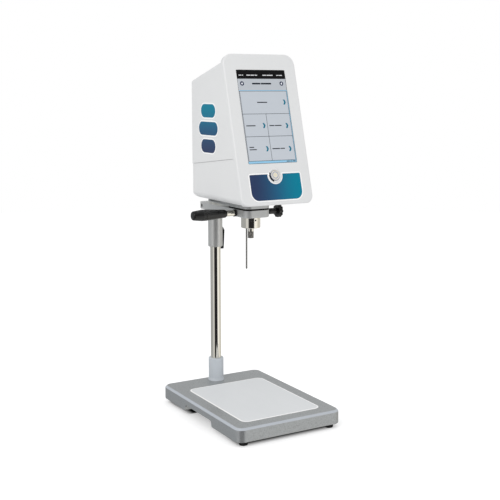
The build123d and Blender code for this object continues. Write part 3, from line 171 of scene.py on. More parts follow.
# %% The finish class
class Finish(Nodes):
    """One procedural material."""

    def __init__(self, name, constants):
        self.material = bpy.data.materials.new(name)
        self.material.use_nodes = True
        super().__init__(self.material.node_tree)
        self.surface = self.tree.nodes["Principled BSDF"]
        for key, value in constants.items():
            self.surface.inputs[key].default_value = value
        self.place = self.node("TexCoord", out="Object")

    def drive(self, wires):
        """Links wires to the shader's sockets, by name."""
        for key, wire in wires.items():
            self.tree.links.new(wire.socket, self.surface.inputs[key])

    def moved(self, origin=(0, 0, 0), turn=(0, 0, 0), stretch=(1, 1, 1)):
        """The place measured from origin, turned, then stretched."""
        about = self.node("VectorMath", {0: self.place, 1: origin}, operation="SUBTRACT")
        sockets = {"Vector": about, "Rotation": turn, "Scale": stretch}
        return self.node("Mapping", sockets, vector_type="POINT")

    def noise(self, size, detail=2.0, stretch=(1, 1, 1)):
        """Soft noise with blobs about size metres across."""
        place = self.place if stretch == (1, 1, 1) else self.moved(stretch=stretch)
        return self.node("TexNoise", {"Vector": place, "Scale": 1 / size, "Detail": detail})

    def axis(self, vector, name):
        """X, Y or Z of a vector."""
        return self.node("SeparateXYZ", {"Vector": vector}, out=name)

    def from_edge(self, middle, half, corner):
        """Distance in from the edge of an upright rectangle with round corners, seen from above."""
        about = self.moved(tuple(middle))
        past_x = abs(self.axis(about, "X")) - (half.x - corner)
        past_y = abs(self.axis(about, "Y")) - (half.y - corner)
        round_x = past_x.larger(0)
        round_y = past_y.larger(0)
        outside = (round_x * round_x + round_y * round_y).math("SQRT")
        return corner - outside - past_x.larger(past_y).math("MINIMUM", 0)

    def bump(self, height, depth, under=None):
        """A relief of depth metres made from a height between 0 and 1."""
        sockets = {"Height": height, "Distance": depth, "Strength": 1.0}
        if under:
            sockets["Normal"] = under
        return self.node("Bump", sockets)


def dress(finish, *names):
    """Gives CAD parts a finish."""
    for name in names:
        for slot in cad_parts[name].material_slots:
            slot.material = finish.material
    print(finish.material.name, "on", ", ".join(names))


# %% [markdown]
# ## Light
# A white room gives white plastic its soft shading, but metal only looks like metal when it has
# something dark to reflect. So glossy rays see a studio: a ramp over the compass bearing that is
# black behind the viewer, pale grey to the left of that and greyer on the far left, and white to
# the right of it and warmer on the far right. A bright round bar squeezes that whole ramp into its
# width, and that gives the stripes that tell the eye it is polished. Higher up
# the black part is wider, so that the leaning screen and the printed panel stay deep. To every other
# ray the world is one even white.

# %% World
WORLD_LEVEL = 0.80
BLACK = (0.02, 0.02, 0.022)
GREY = (0.40, 0.415, 0.43)
PALE = (0.69, 0.69, 0.69)
WHITE = (1.0, 1.0, 1.0)
CREAM = (1.0, 0.98, 0.93)
BEIGE = (0.62, 0.60, 0.56)
SMOKE = (0.40, 0.41, 0.42)
SILVER = (0.75, 0.75, 0.74)
STUDIO = (                         # bearing in degrees from -Y towards +X, and what stands there
    (-180, GREY), (-150, GREY), (-92, SMOKE), (-84, PALE), (-62, PALE), (-52, BLACK),
    (8, BLACK), (16, WHITE), (46, CREAM), (66, BEIGE), (96, BEIGE), (130, SILVER), (180, GREY),
)
SCREEN_SHADE = (-58.0, 64.0)       # black from one bearing to the other, above a low height
SHADE_SOFT = 5.0
SHADE_STARTS = (0.04, 0.14)         # the low height, as a share of a half sphere's, with a soft edge

world = bpy.data.worlds.new("studio")
world.use_nodes = True
scene.world = world
studio = Nodes(world.node_tree)
heading = studio.node("TexCoord", out="Generated")
east = studio.node("SeparateXYZ", {"Vector": heading}, out="X")
north = studio.node("SeparateXYZ", {"Vector": heading}, out="Y")
lift = studio.node("SeparateXYZ", {"Vector": heading}, out="Z")
bearing = east.math("ARCTAN2", 0 - north)
stops = [(0.5 + degrees / 360, (*colour, 1.0)) for degrees, colour in STUDIO]
ring_round = studio.node("ValToRGB", {"Fac": bearing / math.tau + 0.5}, stops=stops)
first, last = (math.radians(edge) for edge in SCREEN_SHADE)
soft = math.radians(SHADE_SOFT)
shade = bearing.rise(first - soft, first + soft) * (1 - bearing.rise(last - soft, last + soft))
reflected = studio.blend(shade * lift.rise(*SHADE_STARTS), ring_round, (*BLACK, 1.0))
seen = studio.node("LightPath", out="Is Camera Ray")
mirrored = studio.node("LightPath", out="Is Glossy Ray")
through = studio.node("LightPath", out="Is Transmission Ray")
even = (WORLD_LEVEL, WORLD_LEVEL, WORLD_LEVEL, 1.0)
colour = studio.blend(mirrored, studio.blend(seen.larger(through), even, (1, 1, 1, 1)), reflected)
world.node_tree.links.new(colour.socket, world.node_tree.nodes["Background"].inputs["Color"])
print("world level", WORLD_LEVEL, "with", len(STUDIO), "stops round the studio")


# %% Lamps
def soft_lamp(name, place, aim, size, watts, mirrored):
    """A square lamp at place, turned to aim; mirrored says whether shiny faces show it."""
    data = bpy.data.lights.new(name, "AREA")
    data.shape = "SQUARE"
    data.size = size
    data.energy = watts
    lamp = bpy.data.objects.new(name, data)
    lamp.location = place
    lamp.rotation_euler = (Vector(aim) - Vector(place)).to_track_quat("-Z", "Y").to_euler()
    lamp.visible_glossy = mirrored
    scene.collection.objects.link(lamp)
    print(name, watts, "W at", place)


soft_lamp("key_lamp", (-2.3, -1.3, 2.2), (0, 0, 0.3), 1.6, 28.0, True)
soft_lamp("fill_lamp", (1.6, -2.0, 1.2), (0, 0, 0.4), 1.4, 5.0, False)

# %% [markdown]
# ## Floor
# The floor is a wide pale disc. To the camera it also glows a little, so that it runs into the white
# world without an edge. Just inside the front and rear edges of the base, and inside its sides
# behind the finger recesses, a painted shadow lies on the floor: no glow is left and the floor is
# painted near black, so that the gap under the skirt looks dark. Reflections pass through the floor
# to the world, which stands for the studio.

# %% Floor
FLOOR_RADIUS = 3.0
FLOOR_GLOW = 0.42
SHADOW_PAINT_IN = (0.003, 0.020)          # metres in from the base's edge, from no painted shadow to full
SHADOW_PAINT_OUT = (0.035, 0.060)         # and back to none, further in
PAST_RECESS = (0.046, 0.052)       # metres behind the base's middle, where the finger recesses end
base_low, base_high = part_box("base_casting")

floor_paint = Finish("floor_paint", {"Roughness": 0.9, "Specular IOR Level": 0.0})
cloudy = floor_paint.noise(0.4, 3.0)
on_floor = floor_paint.moved(tuple((base_low + base_high) / 2))
base_half = (base_high - base_low) / 2
behind_edge = base_half.y - abs(floor_paint.axis(on_floor, "Y"))
beside_edge = base_half.x - abs(floor_paint.axis(on_floor, "X"))
# Painted shadow: bands just inside the base's edges, where the floor is painted near black and its glow is
# taken out.
end_painted_shadow = behind_edge.rise(*SHADOW_PAINT_IN) * (1 - behind_edge.rise(*SHADOW_PAINT_OUT)) * beside_edge.rise(*SHADOW_PAINT_IN)
side_painted_shadow = beside_edge.rise(*SHADOW_PAINT_IN) * (1 - beside_edge.rise(*SHADOW_PAINT_OUT)) * behind_edge.rise(*SHADOW_PAINT_IN)
side_painted_shadow = side_painted_shadow * floor_paint.axis(on_floor, "Y").rise(*PAST_RECESS)
painted_gap_shadow = 1 - (1 - end_painted_shadow) * (1 - side_painted_shadow)
plain_floor = floor_paint.blend(cloudy, tone(226, 226, 227), tone(231, 231, 231))
floor_paint.drive({"Base Color": floor_paint.blend(painted_gap_shadow, plain_floor, tone(30, 30, 32))})
camera_ray = floor_paint.node("LightPath", out="Is Camera Ray")
clear_ray = floor_paint.node("LightPath", out="Is Transmission Ray")
glow = FLOOR_GLOW * (camera_ray + clear_ray) * (1 - painted_gap_shadow)
floor_paint.surface.inputs["Emission Color"].default_value = (1, 1, 1, 1)
floor_paint.tree.links.new(glow.socket, floor_paint.surface.inputs["Emission Strength"])

floor_bm = bmesh.new()
bmesh.ops.create_circle(floor_bm, cap_ends=True, segments=96, radius=FLOOR_RADIUS)
floor_mesh = bpy.data.meshes.new("floor")
floor_bm.to_mesh(floor_mesh)
floor_bm.free()
floor_mesh.materials.append(floor_paint.material)
floor = bpy.data.objects.new("floor", floor_mesh)
scene.collection.objects.link(floor)
floor.visible_glossy = False
print("floor radius", FLOOR_RADIUS)

# %% [markdown]
# ## White moulded plastic
# The head is three injection mouldings in one off-white plastic. Real mouldings are never one flat
# white: the tone drifts a little across the part, the spark-eroded tool leaves a grain well under a
# millimetre, and hands leave faint smoother patches. All three are noises of different sizes.

# %% Housing white
housing_white = Finish(
    "housing_white", {"Specular IOR Level": 0.45, "Coat Weight": 0.12, "Coat Roughness": 0.25},
)
drift = housing_white.noise(0.09, 3.0)
handled = housing_white.noise(0.03, 4.0)
grain = housing_white.noise(0.0007, 2.0)
housing_white.drive({
    "Base Color": housing_white.blend(drift, tone(224, 225, 226), tone(230, 231, 231)),
    "Roughness": 0.33 + 0.16 * handled,
    "Normal": housing_white.bump(grain, 0.00004),
})
dress(housing_white, "housing_shell", "housing_tray", "front_bezel")

# %% [markdown]
# ## Painted casting
# The base is a casting in grey paint with metal flake, so that a corner darkens where it turns to
# the dark side of the room. Paint sprayed on a rough casting dries with a faint orange peel. The
# bevel round the top carries a painted highlight: a mask from the surface normal picks out faces
# that slope between flat and upright and gives them a lighter, less metallic tone. Faces that look
# down carry a painted shade in a near black tone.

# %% Base paint
base_paint = Finish("base_paint", {"Specular IOR Level": 0.5})
slope = base_paint.axis(base_paint.node("TexCoord", out="Normal"), "Z")
# Masks: the sloping bevel carries a painted highlight, faces that look down a painted shade.
bevel = slope.rise(0.35, 0.5) * (1 - slope.rise(0.86, 0.97))
under = 1 - slope.rise(-0.75, -0.25)
patches = base_paint.noise(0.05, 4.0)
speckle = base_paint.noise(0.0011, 3.0)
paint = base_paint.blend(patches, tone(167, 170, 171), tone(177, 180, 181))
paint = base_paint.blend(speckle.rise(0.56, 0.66) * 0.6, paint, tone(186, 188, 192))
paint = base_paint.blend(0.6 * (1 - speckle.rise(0.34, 0.44)), paint, tone(104, 106, 110))
# Painted highlight: a lighter, bluer tone on the bevel.
paint = base_paint.blend(bevel * 0.8, paint, tone(190, 196, 204))
# Painted shade: faces that look down are blended to a near black tone.
base_paint.drive({
    "Base Color": base_paint.blend(under, paint, tone(44, 45, 46)),
    "Metallic": 0.6 * (1 - bevel) * (1 - under),
    "Roughness": 0.30 + 0.12 * patches + 0.2 * under,
    "Normal": base_paint.bump(base_paint.noise(0.0016, 2.0), 0.00009),
})
dress(base_paint, "base_casting")

# %% [markdown]
# ## Work mat
# The pale mat on the base takes drips and beakers. It is a laminated sheet with a fine pebble. A
# white rim round it is a painted highlight, where its rounded edge catches the light. The rim comes
# from a signed distance, the usual way to draw an outline in a shader: for a rectangle with round
# corners it is worked out from the distances to the two middle lines.

# %% Mat
MAT_CORNER = 12.0 * MM
HIGHLIGHT_RIM_WIDE = 2.4 * MM
HIGHLIGHT_RIM_SOFT = 0.2 * MM
mat_low, mat_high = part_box("bench_mat")

mat_sheet = Finish("mat_sheet", {"Specular IOR Level": 0.4})
to_rim = mat_sheet.from_edge((mat_low + mat_high) / 2, (mat_high - mat_low) / 2, MAT_CORNER)
# Painted highlight: a white band round the mat's edge.
rim_highlight = 1 - to_rim.rise(HIGHLIGHT_RIM_WIDE - HIGHLIGHT_RIM_SOFT, HIGHLIGHT_RIM_WIDE + HIGHLIGHT_RIM_SOFT)
pebble = mat_sheet.node("TexVoronoi", {"Vector": mat_sheet.place, "Scale": 900.0}, feature="SMOOTH_F1")
wiped = mat_sheet.noise(0.05, 4.0, (1, 0.4, 1))
sheet_tone = mat_sheet.blend(wiped, tone(219, 222, 224), tone(227, 229, 231))
mat_sheet.drive({
    "Base Color": mat_sheet.blend(rim_highlight, sheet_tone, tone(254, 254, 254)),
    "Roughness": 0.42 + 0.15 * wiped,
    "Normal": mat_sheet.bump(pebble, 0.00005),
})
dress(mat_sheet, "bench_mat")

# %% [markdown]
# ## Bright steel
# Ground and chromed steel mirrors the room. What tells the eye that it is a real bar is a hair-fine
# grain round the axis from grinding, and smudges where hands have held it. The grain is a noise that
# is squeezed hard along one axis.

# %% Polished steel
chrome = Finish("chrome", {"Metallic": 1.0})
smudge = chrome.noise(0.018, 4.0)
rings = chrome.noise(0.004, 3.0, (0.15, 0.15, 14.0))
chrome.drive({
    "Base Color": chrome.blend(smudge, tone(236, 232, 221), tone(245, 242, 232)),
    "Roughness": 0.05 + 0.09 * smudge.rise(0.45, 0.75) + 0.03 * rings,
    "Normal": chrome.bump(rings, 0.000004),
})
dress(chrome, "column_rod", "measuring_ring", "handle_rod", "spindle_coupling")

# %% [markdown]
# ## Satin metals
# The sleeve, the arm, the block and the plate are machined and then blasted or anodised. Each has
# the same kind of surface: a base tone, long faint tool marks, a fine blasted grain and softer
# edges. One function makes them all, with the tone and the direction of the marks changed.

# %% Satin metal
def satin_metal(name, dark_tone, light_tone, marks, rough, metallic):
    """Blasted or anodised metal with faint tool marks stretched along marks."""
    made = Finish(name, {"Metallic": metallic, "Specular IOR Level": 0.5})
    cloud = made.noise(0.02, 4.0)
    tooling = made.noise(0.002, 3.0, marks)
    blasted = made.noise(0.0005, 2.0)
    made.drive({
        "Base Color": made.blend(0.5 * cloud + 0.5 * tooling, dark_tone, light_tone),
        "Roughness": rough + 0.12 * tooling,
        "Normal": made.bump(blasted, 0.00003, made.bump(tooling, 0.00002)),
    })
    return made


ACROSS = (0.08, 1.0, 1.0)
ROUND = (0.2, 0.2, 3.0)
sleeve_metal = satin_metal("sleeve_metal", tone(196, 197, 196), tone(212, 212, 210), ROUND, 0.28, 0.65)
arm_metal = satin_metal("arm_metal", tone(190, 192, 192), tone(208, 209, 208), ACROSS, 0.36, 0.5)
block_metal = satin_metal("block_metal", tone(188, 190, 190), tone(206, 207, 206), ACROSS, 0.34, 0.5)
plate_metal = satin_metal("plate_metal", tone(160, 162, 163), tone(178, 180, 180), ACROSS, 0.4, 0.5)
collar_paint = satin_metal("collar_paint", tone(190, 197, 204), tone(206, 211, 216), ROUND, 0.42, 0.0)
dress(sleeve_metal, "clamp_sleeve")
dress(arm_metal, "support_arm")
dress(block_metal, "foot_block")
dress(plate_metal, "mount_plate")
dress(collar_paint, "column_collar")

# %% [markdown]
# ## Black mouldings and rubber
# Black plastic reads as black only because its shine shows the shape. Its grain is coarser than that
# of the white parts, and the edges that hands polish are smoother. Rubber is duller and dustier.

# %% Black plastic and rubber
black_plastic = Finish("black_plastic", {"Specular IOR Level": 0.6})
worn = black_plastic.noise(0.012, 4.0)
leather = black_plastic.node("TexVoronoi", {"Vector": black_plastic.place, "Scale": 1100.0})
black_plastic.drive({
    "Base Color": black_plastic.blend(worn, tone(7, 7, 8), tone(17, 17, 19)),
    "Roughness": 0.20 + 0.24 * worn,
    "Normal": black_plastic.bump(leather, 0.00006),
})
dress(black_plastic, "column_cap", "clamp_lever", "handle_seat", "handle_grip", "handle_end_cap", "lock_knob")

rubber = Finish("rubber", {"Specular IOR Level": 0.3})
dust = rubber.noise(0.006, 5.0)
rubber.drive({
    "Base Color": rubber.blend(dust.rise(0.4, 0.8), tone(22, 22, 23), tone(58, 57, 56)),
    "Roughness": 0.7 + 0.2 * dust,
    "Normal": rubber.bump(rubber.noise(0.0008, 3.0), 0.00008),
})
dress(rubber, "rubber_feet", "arm_gasket")

# %% [markdown]
# ## Small steel parts
# Screws and nuts are zinc plated, with a faint rainbow cast and turned ends. The probe and the shafts
# are ground stainless. The knurled nut needs its diamonds: two sets of slanting waves run round
# it, and the higher of the two at each point gives the pattern that a knurling wheel presses. Its
# grooves are painted darker than its ridges, a painted shade.

# %% Screws, probe and shafts
zinc = Finish("zinc", {"Metallic": 1.0})
plating = zinc.noise(0.003, 4.0)
zinc.drive({
    "Base Color": zinc.blend(plating, tone(176, 174, 168), tone(198, 198, 200)),
    "Roughness": 0.22 + 0.2 * plating,
    "Normal": zinc.bump(zinc.noise(0.0006, 2.0), 0.00002),
})
dress(zinc, "foot_screws", "column_washer", "column_bolt", "mount_screws", "clamp_stud", "clamp_nut")

stainless = Finish("stainless", {"Metallic": 1.0})
ground = stainless.noise(0.002, 3.0, (0.3, 0.3, 8.0))
stainless.drive({
    "Base Color": stainless.blend(ground, tone(168, 167, 164), tone(196, 195, 192)),
    "Roughness": 0.16 + 0.16 * ground,
    "Normal": stainless.bump(ground, 0.00001),
})
dress(stainless, "temperature_probe", "spindle_shaft", "motor_shaft")

# %% Knurled nut
KNURL_STARTS = 26
KNURL_PITCH = 1.15 * MM
nut_low, nut_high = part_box("coupling_nut")
nut_middle = (nut_low + nut_high) / 2

knurled = Finish("knurled_steel", {"Metallic": 1.0})
around = knurled.moved(tuple(nut_middle))
side_x = knurled.axis(around, "X")
side_y = knurled.axis(around, "Y")
angle = side_y.math("ARCTAN2", side_x) * KNURL_STARTS
climb = knurled.axis(around, "Z") * (math.tau / (2 * KNURL_PITCH))
ridges = (angle + climb).sine().larger((angle - climb).sine()) * 0.5 + 0.5
# Painted shade: the grooves get a dark tone, the ridges a light one.
knurled.drive({
    "Base Color": knurled.blend(ridges, tone(96, 94, 92), tone(196, 193, 188)),
    "Roughness": 0.42 - 0.16 * ridges,
    "Normal": knurled.bump(ridges, 0.00022),
})
dress(knurled, "coupling_nut")

# %% [markdown]
# ## Printed accents
# The panel under the screen is a foil printed with a gradient from navy to teal, under a clear
# gloss. The gradient runs across the panel, so it is a ramp on X. A fine halftone breaks it up, as
# print does. The same inks are used for the accent on the side, where the gradient runs upwards.

# %% Accent inks
NAVY = tone(46, 58, 94)
BLUE = tone(34, 92, 128)
TEAL = tone(0, 126, 152)
foil_low, foil_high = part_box("accent_panel")


def ink(name, along, start, end, gloss):
    """Printed gradient from navy to teal along one axis, under a clear coat."""
    made = Finish(name, {"Specular IOR Level": 0.1, "Coat Weight": gloss, "Coat Roughness": 0.05})
    reach = made.axis(made.place, along).rise(start, end)
    cloud = made.noise(0.02, 3.0)
    halftone = made.node("TexVoronoi", {"Vector": made.place, "Scale": 1500.0})
    stops = [(0.0, NAVY), (0.5, BLUE), (1.0, TEAL)]
    gradient = made.node("ValToRGB", {"Fac": reach + 0.10 * cloud - 0.05}, stops=stops)
    made.drive({
        "Base Color": made.blend(0.03 * halftone, gradient, tone(120, 170, 195)),
        "Roughness": 0.28 + 0.1 * cloud,
        "Normal": made.bump(cloud, 0.00001),
    })
    return made


panel_ink = ink("panel_ink", "X", foil_low.x, foil_high.x, 0.15)
dress(panel_ink, "accent_panel")

# %% [markdown]
# ## Glass, button and the hidden parts
# The screen's glass is dark under its picture, with a clear hard gloss. The button is pale satin
# plastic turned with fine rings, with a groove and an outer edge painted grey as painted shade. Its
# ring is painted near white, a painted reflection of the white room in its polish, with a short
# dark crescent on its left that is a painted reflection of something dark. Everything inside the
# head is also given its own simple finish, because a reader may open the model up.

# %% Glass, button and small plastics
glass = Finish("glass", {"Specular IOR Level": 0.5, "Coat Weight": 1.0, "Coat Roughness": 0.03})
film = glass.noise(0.03, 4.0)
glass.drive({
    "Base Color": glass.blend(film, tone(22, 24, 28), tone(34, 36, 41)),
    "Roughness": 0.08 + 0.1 * film,
})
dress(glass, "touch_glass")

button_low, button_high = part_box("button_bezel")
button_middle = (button_low + button_high) / 2
LEAN = math.radians(15.5)                # the face leans back this far from upright
GROOVE_RADIUS = 5.2 * MM                 # a groove in the button's cap, painted grey as painted shade
CAP_EDGE = (7.4 * MM, 7.8 * MM)          # outside this the cap is painted the groove's grey, a painted shade
CRESCENT_RADIUS = 10.2 * MM                 # the dark crescent, a painted reflection in the ring
CAP_TURNING = 0.5 * MM                   # from one turned ring to the next
RING_TURNING = 0.4 * MM


def on_button(finish):
    """Sideways and upward distance from the button's axis, and the radius."""
    upright = finish.moved(tuple(button_middle), (LEAN, 0, 0))
    across = finish.axis(upright, "X")
    upward = finish.axis(upright, "Z")
    return across, upward, (across * across + upward * upward).math("SQRT")


button_satin = Finish("button_satin", {"Specular IOR Level": 0.5, "Coat Weight": 0.3, "Coat Roughness": 0.2})
across, upward, radius = on_button(button_satin)
turning = (radius * (math.tau / CAP_TURNING)).sine() * 0.5 + 0.5
groove = (1 - abs(radius - GROOVE_RADIUS).rise(0.6 * MM, 1.1 * MM)).larger(radius.rise(*CAP_EDGE))
cap_tone = button_satin.blend(0.4 * turning, tone(238, 230, 208), tone(214, 208, 192))
# Painted shade: the groove and the cap's outer edge are blended to grey.
button_satin.drive({
    "Base Color": button_satin.blend(groove, cap_tone, tone(170, 178, 198)),
    "Roughness": 0.24 + 0.14 * turning,
    "Normal": button_satin.bump(turning - 3.0 * groove, 0.00003),
})
dress(button_satin, "button_cap")

button_ring = Finish("button_ring", {"Specular IOR Level": 0.6, "Metallic": 0.2})
across, upward, radius = on_button(button_ring)
sweep = upward.math("ARCTAN2", 0 - across)         # 0 at nine o'clock, negative below it
arc = sweep.rise(-1.25, -1.15) * (1 - sweep.rise(0.38, 0.48))
painted_crescent = arc * (1 - abs(radius - CRESCENT_RADIUS).rise(1.2 * MM, 1.5 * MM))
spun = (radius * (math.tau / RING_TURNING)).sine() * 0.5 + 0.5
# Painted reflection: the ring is painted near white, as its polish would mirror the white room, with a black
# crescent on its left where it would mirror something dark.
button_ring.drive({
    "Base Color": button_ring.blend(painted_crescent, button_ring.blend(spun, tone(240, 240, 240), tone(250, 250, 249)),
                                    tone(4, 4, 6)),
    "Roughness": 0.2 + 0.1 * spun,
    "Normal": button_ring.bump(spun, 0.00001),
})
dress(button_ring, "button_bezel")


# %% Finishes inside the head
def plain_part(name, dark_tone, light_tone, blob, rough, metallic=0.0, relief=0.00003):
    """Simple finish for a part that is rarely seen: two tones, a grain and uneven gloss."""
    made = Finish(name, {"Metallic": metallic})
    cloud = made.noise(blob, 4.0)
    fine = made.noise(blob / 12, 2.0)
    made.drive({
        "Base Color": made.blend(0.6 * cloud + 0.4 * fine, dark_tone, light_tone),
        "Roughness": rough + 0.2 * cloud,
        "Normal": made.bump(fine, relief),
    })
    return made


dress(plain_part("black_oxide", tone(14, 14, 16), tone(30, 30, 33), 0.003, 0.35, 0.5),
      "ring_grub_screw", "arm_set_screw")
dress(plain_part("dark_moulding", tone(30, 30, 32), tone(46, 46, 48), 0.01, 0.4),
      "button_switch", "encoder_reader", "power_inlet", "data_port")
dress(plain_part("liner_plastic", tone(214, 210, 198), tone(228, 225, 215), 0.02, 0.4),
      "sleeve_liner", "probe_holder")
dress(plain_part("chassis_zinc", tone(158, 160, 163), tone(196, 198, 201), 0.015, 0.25, 0.9),
      "chassis_plate", "motor_posts", "motor_plate", "board_standoffs", "spindle_bearings")
dress(plain_part("bearing_alloy", tone(176, 177, 180), tone(204, 205, 207), 0.008, 0.25, 0.9),
      "bearing_housing", "drive_hub", "encoder_disc")
dress(plain_part("motor_paint", tone(48, 49, 52), tone(66, 67, 70), 0.012, 0.35, 0.3), "drive_motor")
dress(plain_part("display_back", tone(150, 158, 170), tone(170, 178, 190), 0.02, 0.5), "display_module")
dress(plain_part("solder_mask", tone(12, 82, 48), tone(24, 108, 62), 0.004, 0.3), "main_board")
dress(plain_part("stud_steel", tone(120, 118, 114), tone(168, 166, 162), 0.003, 0.25, 1.0), "lock_stud")

# %% [markdown]
# ## The glass plane
# The screen leans back, so its picture is drawn flat and then turned on to the glass. The lowest
# front edge of the glass is found from its box: the front corner is the nearest to the viewer, and
# the back corner, lower by the glass's thickness times the sine of the lean, is the lowest.

# %% Place on the glass
GLASS_THICK = 2.0 * MM
glass_low, glass_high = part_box("touch_glass")
glass_foot = Vector(
    ((glass_low.x + glass_high.x) / 2, glass_low.y, glass_low.z + GLASS_THICK * math.sin(LEAN))
)
glass_wide = glass_high.x - glass_low.x
glass_tall = (glass_high.z - glass_foot.z) / math.cos(LEAN)
ON_GLASS = Matrix.Translation(glass_foot) @ Matrix.Rotation(math.pi / 2 - LEAN, 4, "X")
print("glass in mm:", round(glass_wide / MM, 1), "x", round(glass_tall / MM, 1))


# %% Helpers for flat pieces
def thicken(bm, faces, height):
    """Pulls flat faces up into a closed plate."""
    made = bmesh.ops.extrude_face_region(bm, geom=faces)
    lifted = [part for part in made["geom"] if isinstance(part, bmesh.types.BMVert)]
    bmesh.ops.translate(bm, verts=lifted, vec=(0, 0, height))


def add_tile(bm, x, y, wide, tall, bottom, thick, corner=0.0):
    """A plate with its middle at x, y, in millimetres."""
    place = Matrix.Translation((x * MM, y * MM, bottom * MM)) @ Matrix.Diagonal((wide * MM, tall * MM, 1, 1))
    made = bmesh.ops.create_grid(bm, x_segments=1, y_segments=1, size=0.5, matrix=place)
    faces = list({face for vert in made["verts"] for face in vert.link_faces})
    if corner:
        rounded = bmesh.ops.bevel(
            bm, geom=made["verts"], offset=corner * MM, offset_type="OFFSET", segments=5,
            profile=0.5, affect="VERTICES", material=-1, clamp_overlap=True,
        )
        faces = list({face for vert in rounded["verts"] for face in vert.link_faces})
    thicken(bm, faces, thick * MM)


def add_disc(bm, x, y, radius_mm, bottom, thick, segments=40):
    """A round plate with its middle at x, y, in millimetres."""
    made = bmesh.ops.create_circle(
        bm, cap_ends=True, segments=segments, radius=radius_mm * MM,
        matrix=Matrix.Translation((x * MM, y * MM, bottom * MM)),
    )
    faces = list({face for vert in made["verts"] for face in vert.link_faces})
    thicken(bm, faces, thick * MM)


def add_outline(bm, points, bottom, thick):
    """A plate from a few corner points in millimetres."""
    verts = [bm.verts.new((x * MM, y * MM, bottom * MM)) for x, y in points]
    thicken(bm, [bm.faces.new(verts)], thick * MM)


def keep(bm, name, finish, body, place=None, smooth=False):
    """Ends a bmesh as a piece of the object that rides on a body."""
    if place:
        bmesh.ops.transform(bm, matrix=place, verts=bm.verts)
    bmesh.ops.recalc_face_normals(bm, faces=bm.faces)
    for face in bm.faces:
        face.smooth = smooth
    mesh = bpy.data.meshes.new(name)
    bm.to_mesh(mesh)
    bm.free()
    mesh.materials.append(finish.material)
    piece = bpy.data.objects.new(name, mesh)
    scene.collection.objects.link(piece)
    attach(piece, body)
    print(name, len(mesh.polygons), "faces")


# %% [markdown]
# ## Inks of the screen
# A lit screen is a colour of its own plus a little glow, behind clear glass. All its finishes come
# from one function: two close tones in a very fine grid like pixels, a soft drift like uneven
# backlight, a weak glow and a hard coat that stands for the glass in front.

# %% Screen finishes
SCREEN_GLOW = 0.10


def lit(name, dark_tone, light_tone, glow_level=SCREEN_GLOW):
    """Part of a lit picture behind glass."""
    constants = {"Roughness": 0.5, "Specular IOR Level": 0.2, "Coat Weight": 0.6, "Coat Roughness": 0.04}
    made = Finish(name, constants | {"Emission Strength": glow_level})
    backlight = made.noise(0.06, 2.0)
    pixels = made.node("TexVoronoi", {"Vector": made.place, "Scale": 2600.0, "Randomness": 0.1})
    picture = made.blend(0.7 * backlight + 0.3 * pixels.rise(0.1, 0.6), dark_tone, light_tone)
    made.drive({"Base Color": picture, "Emission Color": picture})
    return made


header_light = lit("header_light", tone(177, 182, 189), tone(187, 192, 198))
tile_light = lit("tile_light", tone(184, 190, 198), tone(194, 200, 207))
status_dark = lit("status_dark", tone(14, 14, 16), tone(22, 22, 25), 0.0)
line_dark = lit("line_dark", tone(64, 70, 78), tone(84, 90, 98), 0.0)
strip_blue = lit("strip_blue", tone(132, 188, 220), tone(152, 200, 228))
text_dark = lit("text_dark", tone(34, 38, 48), tone(46, 50, 60), 0.0)
text_pale = lit("text_pale", tone(205, 207, 210), tone(222, 223, 226), 0.10)
navy_icon = lit("navy_icon", tone(28, 36, 70), tone(36, 46, 82), 0.0)
white_icon = lit("white_icon", tone(232, 236, 242), tone(240, 243, 248))
teal_mark = lit("teal_mark", tone(0, 108, 134), tone(4, 120, 146), 0.0)

# %% [markdown]
# ## The menu on the screen
# The picture is laid on the glass as plates a few hundredths of a millimetre thick, each a little
# above the last, in the order a screen draws them: the ground, then bars and lines, then tiles, then
# signs. Words aren't drawn: each label is a row of short bars, the way a layout sketch shows text.

# %% Ground, status bar and header
PLATE = 0.03                       # every plate of the picture is this thick, in millimetres
GROUND_UP, BAR_UP, TILE_UP, SIGN_UP = 0.02, 0.05, 0.08, 0.11
PICTURE_WIDE = 90.6
PICTURE_INSET = 0.5
STATUS_TALL = 14.2
STRIP_THIN = 1.0
STRIP_SIDE = 44.8                  # middle of the strip along the right edge
STRIP_OVER = 0.9                   # middle of the strip above the tiles, over their top
STRIP_LOW, STRIP_LOW_TALL = 2.4, 3.8
TILES_TOP = 119.0
TILES_LOW = 4.4
TILE_LEFT, TILE_RIGHT = -44.2, 44.0
ROW_SPLITS = (81.4, 44.3)
COLUMN_SPLIT = -0.9
glass_top = glass_tall / MM

ground = bmesh.new()
add_tile(ground, 0, glass_top / 2, PICTURE_WIDE, glass_top - 2 * PICTURE_INSET, GROUND_UP, PLATE)
keep(ground, "screen_ground", header_light, "carriage", ON_GLASS)

status = bmesh.new()
status_top = glass_top - PICTURE_INSET
add_tile(status, 0, status_top - STATUS_TALL / 2, PICTURE_WIDE, STATUS_TALL, BAR_UP, PLATE)
keep(status, "screen_status_bar", status_dark, "carriage", ON_GLASS)

strip = bmesh.new()
tiles_middle = (TILES_TOP + TILES_LOW) / 2
add_tile(strip, 0, STRIP_LOW, PICTURE_WIDE, STRIP_LOW_TALL, BAR_UP, PLATE)
add_tile(strip, STRIP_SIDE, tiles_middle, STRIP_THIN, TILES_TOP - TILES_LOW, BAR_UP, PLATE)
add_tile(strip, 0, TILES_TOP + STRIP_OVER, PICTURE_WIDE, STRIP_THIN, BAR_UP, PLATE)
keep(strip, "screen_edge_strips", strip_blue, "carriage", ON_GLASS)

